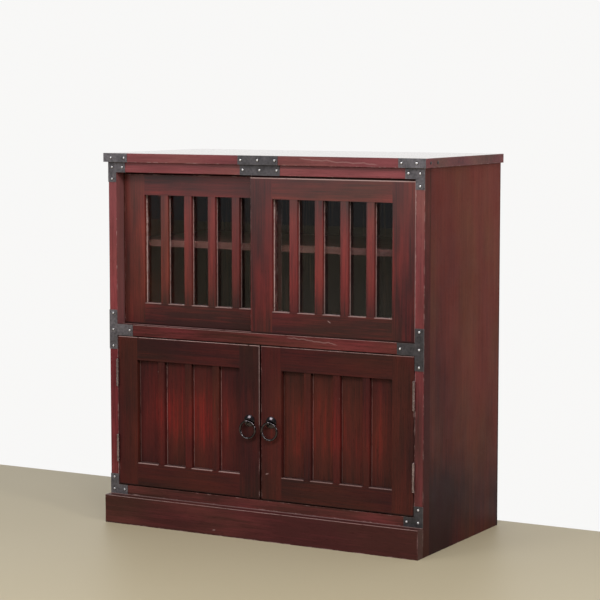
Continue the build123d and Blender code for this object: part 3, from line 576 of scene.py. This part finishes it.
def strip_by_glass(tree, door, glass_y, share):
    """Pale strip on the gap walls by the glass: wood the stain missed, and painted highlight."""
    x, y, _ = tree.axes()
    opening = tree.between(x, door.left - MM, door.right + MM)
    sideways = tree.calc("ABSOLUTE", tree.normal_axes()[0])
    walls = tree.either(tree.calc("GREATER_THAN", sideways, 0.7), upper_face(tree))
    near = tree.smooth(y, glass_y - STRIP_WIDTH, glass_y - 0.8 * STRIP_WIDTH, 0.0, share)
    return tree.times(walls, opening, near, specks(tree, 240.0, 0.36, 0.35))


# ------------------------------------------------------------------ iron, brass, glass, plastic

BRIGHT_IRON = (0.30, 0.27, 0.26, 1)
NAIL_BLACK = (0.030, 0.027, 0.028, 1)
# painted highlight on the crowns of the nails
NAIL_HIGHLIGHT = (0.64, 0.63, 0.66, 1)
BRASS_TONES = ((0.115, 0.080, 0.090), (0.34, 0.265, 0.285), (0.58, 0.47, 0.50))
PLASTIC_TONES = ((0.020, 0.012, 0.009), (0.040, 0.024, 0.018))
GLASS_TINT = (0.945, 0.955, 0.955, 1)
GLASS_SHADOW = (0.86, 0.90, 0.88, 1)     # what a pane leaves of the light of a lamp


def metal_grit(tree):
    return tree.noise(tree.place(), 1400.0, detail=3.0, roughness=0.7)


def iron(name, colour, metal, gloss, hammer, bright_edge, coat=0.0, paler=None):
    """Blackened iron with the shallow marks of the hammer and edges rubbed bright. A function of
    the tree, paler, says how much paler than its colour the iron is from place to place.
    """
    made, tree = material(name)
    marks = tree.noise(tree.place(), 210.0, detail=1.0)
    grit = metal_grit(tree)
    blotches = tree.noise(tree.place(), 45.0, detail=4.0)
    rubbed = tree.smooth(tree.arris(0.9 * MM), 0.15, 0.5)
    shade = tree.add(tree.smooth(blotches, 0.3, 0.7, 0.75, 1.25), tree.centred(marks, 1.3))
    if paler:
        shade = tree.times(shade, paler(tree))
    dark = tree.node("VectorMath", {0: colour, "Scale": shade}, operation="SCALE").outputs[0]
    tree.principled({
        "Base Color": tree.mixed(tree.times(rubbed, bright_edge), dark, BRIGHT_IRON),
        "Roughness": tree.add(gloss, tree.centred(grit, 0.22), tree.centred(blotches, 0.16)),
        "Metallic": metal,
        "Normal": tree.bump(tree.add(marks, tree.times(grit, 0.18)), hammer, 0.7),
        "Coat Weight": coat,
        "Coat Roughness": 0.07,
    })
    return made


def plate_painted_sheen(tree):
    """Painted sheen and shade on the plates: most on the left and top right, least in the middle."""
    x, _, z = tree.axes()
    to_right = tree.smooth(x, -0.20, 0.30)
    right_side = tree.smooth(z, 0.45, 0.72, 0.50, 1.12)
    ends = tree.add(1.20, tree.times(to_right, tree.less(right_side, 1.20)))
    return tree.times(ends, tree.smooth(tree.calc("ABSOLUTE", x), 0.05, 0.20, 0.62, 1.0))


def nail_heads(name):
    """Domed nail heads, black round the foot of the dome, with a painted highlight on their crowns."""
    made, tree = material(name)
    grit = metal_grit(tree)
    outward = tree.times(tree.normal_axes()[1], -1.0)
    crown_highlight = tree.smooth(tree.add(outward, tree.centred(grit, 0.06)), 0.82, 0.93)
    tree.principled({
        "Base Color": tree.mixed(crown_highlight, NAIL_BLACK, NAIL_HIGHLIGHT),
        "Roughness": tree.add(0.34, tree.centred(grit, 0.2)),
        "Metallic": 0.60,
        "Normal": tree.bump(grit, 0.03 * MM, 0.5),
    })
    return made


def brass(name):
    """Antique hinge metal: brown plating, rubbed brighter where it turns."""
    made, tree = material(name)
    blotches = tree.noise(tree.place(), 90.0, detail=4.0, roughness=0.7)
    brushed = tree.noise(tree.scaled(tree.place(), (1, 1, 0.05)), 2400.0)
    rubbed = tree.smooth(tree.arris(0.7 * MM), 0.15, 0.5)
    tone = tree.add(tree.centred(blotches, 1.2), 0.45, tree.times(rubbed, 0.4))
    tree.principled({
        "Base Color": tree.ramp(tone, BRASS_TONES),
        "Roughness": tree.add(0.24, tree.centred(blotches, 0.25), tree.centred(brushed, 0.2)),
        "Metallic": 0.95,
        "Normal": tree.bump(brushed, 0.04 * MM, 0.6),
    })
    return made


def glass(name):
    """Clear float glass that lets the lamps into the cabinet."""
    made, tree = material(name)
    smears = tree.noise(tree.place(), 18.0, detail=5.0, roughness=0.6)
    given = {
        "Base Color": GLASS_TINT,
        "Roughness": tree.smooth(smears, 0.45, 0.75, 0.0, 0.03),
        "IOR": 1.5,
        "Transmission Weight": 1.0,
    }
    pane = tree.node("BsdfPrincipled", given).outputs[0]
    clear = tree.node("BsdfTransparent", {0: GLASS_SHADOW}).outputs[0]
    lamp_ray = tree.node("LightPath").outputs["Is Shadow Ray"]
    tree.surface(tree.node("MixShader", {0: lamp_ray, 1: pane, 2: clear}).outputs[0])
    return made


def catch_plastic(name):
    """Brown moulded plastic of the magnetic catches."""
    made, tree = material(name)
    grit = tree.noise(tree.place(), 900.0, detail=3.0)
    tree.principled({
        "Base Color": tree.ramp(grit, PLASTIC_TONES),
        "Roughness": tree.add(0.42, tree.centred(grit, 0.2)),
        "Normal": tree.bump(grit, 0.05 * MM, 0.5),
    })
    return made


# ------------------------------------------------------------------ dressing the case


def dress(name, finish):
    """Puts one material on every slot of a node of the frame."""
    slots = nodes[name].data.materials
    if not slots:
        slots.append(finish)
    for index in range(len(slots)):
        slots[index] = finish


def dress_boards(looks, first_seed, prefix=""):
    """Gives each board its own wood, from its look by its name after the prefix."""
    for seed, (part, look) in enumerate(looks.items(), first_seed):
        dress(prefix + part, wood(prefix + part, look, seed))


def dress_rails():
    sill_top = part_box("sill_rail")[1].z
    board_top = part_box("top_board")[1].z

    def top_figure(tree):
        return pale_figure(tree, start=0.095, end=0.280, height=board_top - 5 * MM, slope=-0.05)

    def sill_marks(tree):
        figure = pale_figure(tree, start=0.060, end=0.185, height=sill_top - 4 * MM, slope=-0.07)
        return tree.either(figure, worn_top(tree, sill_top, 1.5 * MM, 0.6))

    dress_boards({
        "top_board": Look(
            TOP_STAIN, "x", tone=0.56, shine=0.06, coat_gloss=0.05, coat=upper_face,
            bare_and_lit=top_figure, darker=lambda tree: tree.times(facing(tree, "x"), 0.14)),
        "head_rail": Look(CASE_STAIN, "x", tone=0.60, wear=0.4, shine=0.38, redder=0.12),
        "sill_rail": Look(
            CASE_STAIN, "x", tone=0.16, wear=0.2, shine=0.04, coat=lacquer(0.0, 0.8),
            bare_and_lit=sill_marks,
            # lighter towards the right, with painted shade on its top
            darker=lambda tree: tree.add(rising_to_right(tree, -0.14), painted_top_shade(tree))),
        "bottom_rail": Look(
            # painted shade on its top, in the gap under the hinged doors
            CASE_STAIN, "x", tone=0.20, wear=0.3, shine=0.10, darker=painted_top_shade),
        "plinth_board": Look(
            CASE_STAIN, "x", tone=0.08, wear=0.6, shine=0.08, contrast=0.35, bare_and_lit=plinth_wear,
            darker=plinth_painted_shade),
    }, 1)


def plinth_wear(tree):
    """Rubbed on the plinth's top arris, paler behind it on top and on its ends, with one nick."""
    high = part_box("plinth_board")[1]
    back = tree.smooth(tree.axes()[1], high.y - 9 * MM, high.y - 6 * MM, 0.0, 0.5)
    behind = tree.times(back, upper_face(tree))
    ends = tree.times(facing(tree, "x"), 0.05)
    arris = worn_top(tree, high.z, 1.8 * MM, 0.65)
    nick = scratch(tree, x=-0.100, z=0.0113, slope=0.2)
    return tree.either(arris, behind, ends, nick)


def plinth_painted_shade(tree):
    """Painted contact shadow just above the floor on the plinth, and painted shade on its ends."""
    foot = tree.smooth(tree.axes()[2], 1.2 * MM, 3.5 * MM, 0.6, 0.0)
    return tree.add(foot, tree.times(facing(tree, "x"), 0.25))


def off_seam(tree):
    """A mask of all but the flush seam between a post and its side board, where nothing rubs."""
    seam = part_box("left_front_post")[1].y
    return tree.flipped(tree.between(tree.axes()[1], seam - EDGE_MARGIN, seam + EDGE_MARGIN))


def painted_slanted_shade(tree, slant, depth):
    """How much darker a side is with painted shade, below a line that falls with its slant to the
    back.
    """
    _, y, z = tree.axes()
    return tree.smooth(tree.add(z, tree.times(y, slant)), 0.085, 0.225, depth, 0.0)


def side_shade(tree, slant, side_foot_shade):
    """How much darker a side board is: painted shade towards the front, downwards and in its slanted
    foot, and darker along its back edge. The last few centimetres are painted a little lighter.
    """
    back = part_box("left_side_board")[1].y
    _, y, z = tree.axes()
    front = tree.smooth(y, -0.17, 0.12, 0.27, 0.0)
    foot = painted_slanted_shade(tree, slant, side_foot_shade)
    # painted light just above the floor, against the shade there
    lift = tree.smooth(z, 0.0, 0.07, -0.08, 0.0)
    edge = tree.smooth(y, back - 7 * MM, back - 4 * MM, 0.0, 0.3)
    return tree.add(painted_foot_shade(tree, 0.24, 0.15, 0.74), front, foot, lift, edge)


def dress_case_side(side, seed, foot, painted_haze, shaded, foot_coat, slant, side_foot_shade):
    """The post and the side board on one side of the case. The post has painted shade downwards by the
    amount foot; its face that looks to +X is painted paler as haze and darker as shade by those two
    shares, and foot_coat is the share of lacquer at its foot. Below a line with the slant the whole
    side has painted shade, by the amount of its foot shade.
    """
    # painted shade on the post: towards the floor, and on the face that looks to +X
    def post_shade(tree):
        outer = tree.add(shaded, painted_slanted_shade(tree, slant, side_foot_shade))
        return tree.add(painted_foot_shade(tree, foot), tree.times(facing(tree, "x"), outer))

    dress_boards({
        "_front_post": Look(
            CASE_STAIN, "z", tone=0.64, gloss=0.5, shine=0.03, redder=0.06, keep=off_seam,
            coat=lacquer(foot_coat, 1.0), darker=post_shade,
            # painted haze: the face that looks to +X is made paler
            bare_and_lit=lambda tree: tree.times(facing(tree, "x"), painted_haze)),
        "_side_board": Look(
            SIDE_STAIN, "z", tone=0.73, wear=0.3, contrast=0.28, gloss=0.5, shine=0.04,
            keep=off_seam, darker=lambda tree: side_shade(tree, slant, side_foot_shade)),
    }, seed, side)


def dress_case_sides():
    dress_case_side("left", seed=11, foot=0.14, painted_haze=0.20, shaded=0.22, foot_coat=0.0,
                    slant=0.0, side_foot_shade=0.12)
    dress_case_side("right", seed=13, foot=0.42, painted_haze=0.0, shaded=0.42, foot_coat=0.45,
                    slant=0.14, side_foot_shade=0.33)


def shelf_shade(tree):
    """How much darker the upper shelf is, on its top and towards its right end."""
    return tree.add(tree.times(upper_face(tree), 0.35), rising_to_right(tree, 0.45))


def back_shade(tree):
    """How much darker the back panel is on its stained inner side, more towards the right."""
    return tree.times(front_face(tree), tree.smooth(tree.axes()[0], -0.3, 0.3, 0.46, 0.72))


def dress_inside():
    plain = Look(INNER_STAIN, "x", tone=0.70, wear=0.1)
    plain_boards = ("middle_deck", "bottom_board", "lower_shelf", "plinth_bearer", "rear_bearer",
                    "rear_top_rail")
    dress_boards({name: plain for name in plain_boards}, 21)
    dress_boards({
        "upper_shelf": Look(
            INNER_STAIN, "x", tone=0.95, wear=0.1, contrast=0.4, darker=shelf_shade),
        "back_panel": Look(PLY_STAIN, "z", tone=0.6, wear=0.2, gloss=0.55, darker=back_shade),
    }, 30)


# ------------------------------------------------------------------ dressing the doors

SLIDER_FOOT_GAP = 1.0 * MM     # from the sill to where the face of a sliding door begins
SLIDER_HEAD_GAP = 4.5 * MM     # from the face of a sliding door to the head rail
SLIDER_BAR_WIDTH = 18.5 * MM
MUNTIN_WIDTH = 16.0 * MM

# How far up their stain the parts of the two hinged doors are.
DOOR_TONES = {
    "left": {"hinge_stile": 0.67, "meeting_stile": 0.46, "bottom_rail": 0.62, "top_rail": 0.46,
             "muntins": 0.61, "panel": 0.59},
    "right": {"hinge_stile": 0.67, "meeting_stile": 0.64, "bottom_rail": 0.62, "top_rail": 0.67,
              "muntins": 0.59, "panel": 0.52},
}


def dress_sliding_door(side, seed, rubbed, left_tone, bar_tone):
    """One sliding door, with the wear and the unevenness of its face by the share, rubbed."""
    prefix = side + "_slider_"
    face = (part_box("sill_rail")[1].z + SLIDER_FOOT_GAP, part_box("head_rail")[0].z - SLIDER_HEAD_GAP)
    door = Door(prefix, ("left_stile", "right_stile"), bar_count=4, bar_width=SLIDER_BAR_WIDTH,
                fade_x=(0.005, 0.06), fade_z=(0.01, 0.10), face=face)
    glass_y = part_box(prefix + "glass")[0].y

    def shade(tree):
        # stain shading of the door, with painted shade in its gaps
        return tree.add(burst(tree, door, 0.40), painted_gap_shade(tree, door))

    def bar_shade(tree):
        return tree.add(shade(tree), low_bars(tree, door))

    def right_stile_shade(tree):
        slope = across_stile(tree, prefix + "right_stile", door, 0.20 * rubbed)
        return tree.add(shade(tree), slope)

    def top_rail_shade(tree):
        return tree.add(shade(tree), across_piece(tree, prefix + "top_rail", 0.0, -0.15 * rubbed))

    def worn_face(tree):
        return tree.times(worn_outline(tree, door, 2.6 * MM, right_edge_from=0.40), rubbed)

    def sill_marks(tree):
        scratched = tree.times(scratch(tree, x=0.160, z=0.464, slope=-0.5), rubbed)
        return tree.either(worn_sill(tree, door, 1.2 * MM), scratched)

    def strip(share):
        return lambda tree: strip_by_glass(tree, door, glass_y, share)

    upright = Look(
        SLIDER_STAIN, "z", wear=0.6, contrast=0.72, shine=0.06, darker=shade, bare_and_lit=worn_face,
        keep=lambda tree: door_outline(tree, door), coat=lacquer(0.0, 0.80, door.high.z))
    level = replace(upright, grain="x")
    dress_boards({
        "left_stile": replace(upright, tone=left_tone, redder=0.08 * rubbed, pale_and_lit=strip(0.6)),
        "right_stile": replace(upright, tone=0.54, darker=right_stile_shade),
        "bottom_rail": replace(level, tone=0.48, bare_and_lit=sill_marks, pale_and_lit=strip(0.3)),
        "top_rail": replace(level, tone=0.67, redder=0.12, darker=top_rail_shade),
        "lattice": Look(
            SLIDER_STAIN, "z", tone=bar_tone, wear=0.0, contrast=0.72, shine=0.10,
            darker=bar_shade, coat=lacquer(0.0, 1.0), pale_and_lit=strip(0.3)),
        "glass_beads": Look(SLIDER_STAIN, "z"),
    }, seed, prefix)


def dress_hinged_door(side, seed, worn_from, rubbed, redder):
    """One hinged door, rubbed by that share, and down its right edge to the height worn_from."""
    prefix = side + "_door_"
    door = Door(prefix, ("hinge_stile", "meeting_stile"), bar_count=3, bar_width=MUNTIN_WIDTH,
                fade_x=(0.01, 0.09), fade_z=(0.03, 0.15))

    def shade(tree):
        # stain shading of the door, with painted shade in its gaps
        return tree.add(burst(tree, door, 0.38), painted_gap_shade(tree, door))

    def panel_shade(tree):
        # the stain is lifted where the field edges have their painted highlight
        return tree.less(shade(tree), field_edge_highlight(tree, door, 0.3 * rubbed))

    def top_line(tree):
        return tree.times(worn_outline(tree, door, 1.7 * MM, worn_from), rubbed)

    def meeting_marks(tree):
        return tree.either(top_line(tree), scratch(tree, x=0.016, z=0.138, slope=0.3))

    def field_marks(tree):
        # wear and painted highlight on the raised fields
        return tree.either(field_foot_wear_and_highlight(tree, 0.85 * rubbed), field_edge_highlight(tree, door, 0.6 * rubbed))

    inner = Look(HINGED_STAIN, "z", wear=0.0, contrast=0.5, shine=0.10, darker=shade)
    stile = replace(inner, keep=lambda tree: door_outline(tree, door), bare_and_lit=top_line)
    rail = replace(stile, grain="x", wear=0.7)
    looks = {
        "hinge_stile": replace(stile, wear=0.2),
        "meeting_stile": replace(stile, wear=0.5, redder=redder, bare_and_lit=meeting_marks),
        "bottom_rail": replace(rail, bare_and_lit=lambda tree: worn_sill(tree, door, 1.4 * MM, rubbed)),
        "top_rail": replace(rail, redder=redder),
        "muntins": inner,
        "panel": replace(inner, redder=-redder, darker=panel_shade, bare_and_lit=field_marks),
    }
    tones = DOOR_TONES[side]
    toned = {part: replace(look, tone=tones[part]) for part, look in looks.items()}
    dress_boards(toned, seed, prefix)


def dress_doors():
    dress_sliding_door("left", seed=41, rubbed=0.0, left_tone=0.71, bar_tone=0.64)
    dress_sliding_door("right", seed=51, rubbed=1.0, left_tone=0.61, bar_tone=0.52)
    dress_hinged_door("left", seed=61, worn_from=0.22, rubbed=1.0, redder=0.0)
    dress_hinged_door("right", seed=71, worn_from=None, rubbed=0.6, redder=0.10)


# ------------------------------------------------------------------ dressing the fittings


def dress_metal():
    plates = iron("plate_iron", (0.083, 0.076, 0.084), metal=0.35, gloss=0.42, hammer=0.12 * MM,
                  bright_edge=0.25, paler=plate_painted_sheen)
    for name in ("top_board_plates", "head_rail_plates", "tee_plates", "base_corner_plates"):
        dress(name, plates)
    dress("plate_nails", nail_heads("nail_iron"))
    black = iron("pull_black", (0.060, 0.050, 0.055), metal=1.0, gloss=0.18, hammer=0.01 * MM,
                 bright_edge=0.05, coat=0.3)
    hinge = brass("hinge_metal")
    for side in ("left", "right"):
        dress(side + "_pull_rosette_and_eye", black)
        dress(side + "_pull_ring", black)
        dress(side + "_door_hinge_leaves", hinge)
        dress(side + "_door_strike_plate", hinge)
    for name in ("frame_hinge_leaves", "hinge_pins", "shelf_pins"):
        dress(name, hinge)
    return hinge


def dress_rest():
    pane = glass("pane_glass")
    dress("left_slider_glass", pane)
    dress("right_slider_glass", pane)
    dress("door_catches", catch_plastic("catch_plastic"))


# ------------------------------------------------------------------ hinge screws

SCREW_RADIUS = 2.6 * MM
SCREW_PROUD = 0.06 * MM       # the heads are all but flush, inside the play between two leaves
SCREW_SINK = 0.4 * MM
SLOT_DEPTH = 0.04 * MM
SLOT_HALF_WIDTH = 0.4 * MM
SCREW_ROW = (-0.33, 0.0, 0.33)  # along the leaf, as shares of its length
LEAF_LENGTH = 59 * MM
LEAF_WIDTH = 18 * MM
LEAF_PLAY = 0.2 * MM          # between the two leaves of a closed hinge
TURN_STEP = 0.9               # radians between the slots of one screw and the next
ARC_STEPS = 12


def slotted_head(shape, centre, outward, turn):
    """A flat screw head that looks along X, cut by one slot turned by an angle."""
    slope = math.asin(SLOT_HALF_WIDTH / SCREW_RADIUS)

    def corner(angle, height):
        across, up = math.cos(angle + turn), math.sin(angle + turn)
        offset = Vector((outward * height, outward * SCREW_RADIUS * across, SCREW_RADIUS * up))
        return shape.verts.new(centre + offset)

    slot_angles = []
    for start in (slope, math.pi + slope):
        angles = [start + (math.pi - 2 * slope) * step / ARC_STEPS for step in range(ARC_STEPS + 1)]
        rim = [corner(angle, SCREW_PROUD) for angle in angles]
        foot = [corner(angle, -SCREW_SINK) for angle in angles]
        shape.faces.new(rim)
        shape.faces.new(foot[::-1])
        for step in range(ARC_STEPS):
            shape.faces.new((rim[step + 1], rim[step], foot[step], foot[step + 1]))
        shape.faces.new((rim[0], rim[-1], foot[-1], foot[0]))
        slot_angles += [angles[0], angles[-1]]
    slot_angles = slot_angles[1:] + slot_angles[:1]
    bottom = [corner(angle, SCREW_PROUD - SLOT_DEPTH) for angle in slot_angles]
    deep = [corner(angle, -SCREW_SINK) for angle in slot_angles]
    # the bottom of the slot takes the second material, its painted shade
    shape.faces.new(bottom).material_index = 1
    shape.faces.new(deep[::-1])
    for step in range(len(slot_angles)):
        following = (step + 1) % len(slot_angles)
        shape.faces.new((bottom[following], bottom[step], deep[step], deep[following]))


def mesh_piece(name, shape, *finishes):
    """A new piece of the scene from a shape, which is freed."""
    mesh = bpy.data.meshes.new(name)
    shape.to_mesh(mesh)
    shape.free()
    for finish in finishes:
        mesh.materials.append(finish)
    piece = bpy.data.objects.new(name, mesh)
    bpy.context.scene.collection.objects.link(piece)
    return piece


def hinge_screws(name, body, sides, on_frame, finish, slot_painted_shade):
    """Three screws in each hinge leaf of the frame or of a door, on the faces inside the hinge."""
    shape = bmesh.new()
    screw = 0
    for side, sign in sides:
        low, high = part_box(side + "_door_hinge_leaves")
        looks_to = -sign if on_frame else sign
        face_x = (low.x + high.x) / 2 - looks_to * LEAF_PLAY / 2
        middle_y = high.y - LEAF_WIDTH / 2
        for middle_z in (low.z + LEAF_LENGTH / 2, high.z - LEAF_LENGTH / 2):
            for share in SCREW_ROW:
                centre = Vector((face_x, middle_y, middle_z + share * LEAF_LENGTH))
                slotted_head(shape, centre, looks_to, TURN_STEP * screw)
                screw += 1
    bmesh.ops.recalc_face_normals(shape, faces=shape.faces)
    piece = mesh_piece(name, shape, finish, slot_painted_shade)
    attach(piece, body)


def add_hinge_screws(finish):
    # the slots are near-black: painted shade in the shallow cut
    slot_painted_shade = iron("screw_slot_painted_shade", (0.012, 0.010, 0.010), metal=0.2, gloss=0.6,
                      hammer=0.02 * MM, bright_edge=0.0)
    both_sides = (("left", -1), ("right", 1))
    hinge_screws("frame_hinge_screws", "case", both_sides, True, finish, slot_painted_shade)
    for side, sign in both_sides:
        name, body = side + "_door_hinge_screws", side + "_hinged_door"
        hinge_screws(name, body, ((side, sign),), False, finish, slot_painted_shade)


# ------------------------------------------------------------------ stage and lamps

FLOOR_COLOUR = (0.50, 0.43, 0.29, 1)
FLOOR_PALE = (0.55, 0.50, 0.37, 1)
WALL_COLOUR = (1.0, 0.995, 0.985, 1)
WALL_WHITE = 0.94
WALL_Y = 0.24
WALL_HEIGHT = 6.0
STAGE_REACH = 9.0
AMBIENT = 0.42
DIM_SIDE = 0.16


def flat_piece(name, corners, finish):
    shape = bmesh.new()
    shape.faces.new([shape.verts.new(corner) for corner in corners])
    piece = mesh_piece(name, shape, finish)


def seen_rays(tree):
    """1 for rays that show the background: to the camera, in gloss and through glass."""
    path = tree.node("LightPath").outputs
    shown = tree.add(path["Is Camera Ray"], path["Is Glossy Ray"], path["Is Transmission Ray"])
    return tree.calc("MINIMUM", shown, 1.0)


def add_floor():
    made, tree = material("floor")
    cloud = tree.noise(tree.place(), 1.5, detail=3.0)
    colour = tree.mixed(tree.smooth(cloud, 0.3, 0.7, 0.0, 0.15), FLOOR_COLOUR, FLOOR_PALE)
    tree.principled({"Base Color": colour, "Roughness": 0.5})
    r = STAGE_REACH
    flat_piece("floor", ((-r, -r, 0), (r, -r, 0), (r, r, 0), (-r, r, 0)), made)


def add_wall():
    """A white card behind the cabinet, seen from the front only, that shades nothing."""
    made, tree = material("wall")
    front_side = tree.flipped(tree.node("NewGeometry").outputs["Backfacing"])
    shown = tree.times(seen_rays(tree), front_side)
    white = tree.node("Emission", {0: WALL_COLOUR, 1: WALL_WHITE}).outputs[0]
    clear = tree.node("BsdfTransparent").outputs[0]
    tree.surface(tree.node("MixShader", {0: shown, 1: clear, 2: white}).outputs[0])
    r, y, top = STAGE_REACH, WALL_Y, WALL_HEIGHT
    flat_piece("wall", ((-r, y, 0), (r, y, 0), (r, y, top), (-r, y, top)), made)


def add_world():
    """A white studio: its wall side is bright in gloss and glass, the camera's side is dim."""
    world = bpy.data.worlds.new("studio")
    bpy.context.scene.world = world
    tree = Tree(world)
    path = tree.node("LightPath").outputs
    to_back = tree.apart(tree.node("TexCoord").outputs["Generated"])[1]
    mirrored = tree.smooth(to_back, 0.0, 0.6, DIM_SIDE, 1.0)
    shown = tree.either(path["Is Camera Ray"], tree.times(seen_rays(tree), mirrored))
    strength = tree.either(shown, tree.times(path["Is Diffuse Ray"], AMBIENT))
    sky = tree.node("Background", {"Color": (1, 1, 1, 1), "Strength": strength})
    tree.node("OutputWorld", {"Surface": sky.outputs[0]})


def add_lamp(name, place, target, size, power, colour):
    data = bpy.data.lights.new(name, "AREA")
    data.shape = "RECTANGLE"
    data.size, data.size_y = size
    data.energy = power
    data.color = colour
    lamp = bpy.data.objects.new(name, data)
    lamp.location = place
    aim = Vector(target) - Vector(place)
    lamp.rotation_euler = aim.to_track_quat("-Z", "Y").to_euler()
    bpy.context.scene.collection.objects.link(lamp)


def add_lamps():
    middle = (0, 0, 0.45)
    add_lamp("key", place=(0.80, -1.95, 2.15), target=middle, size=(1.8, 0.6), power=38,
             colour=(1.0, 0.99, 0.97))
    add_lamp("window", place=(3.1, -1.3, 1.75), target=middle, size=(0.5, 1.4), power=30,
             colour=(1.0, 0.99, 0.98))
    add_lamp("sheen", place=(-1.7, -3.3, 1.75), target=(0.1, 0, 0.75), size=(1.5, 1.0), power=34,
             colour=(0.97, 0.98, 1.0))


bpy.context.scene.view_settings.view_transform = "Standard"
add_camera()
dress_rails()
dress_case_sides()
dress_inside()
dress_doors()
add_hinge_screws(dress_metal())
dress_rest()
add_floor()
add_wall()
add_world()
add_lamps()
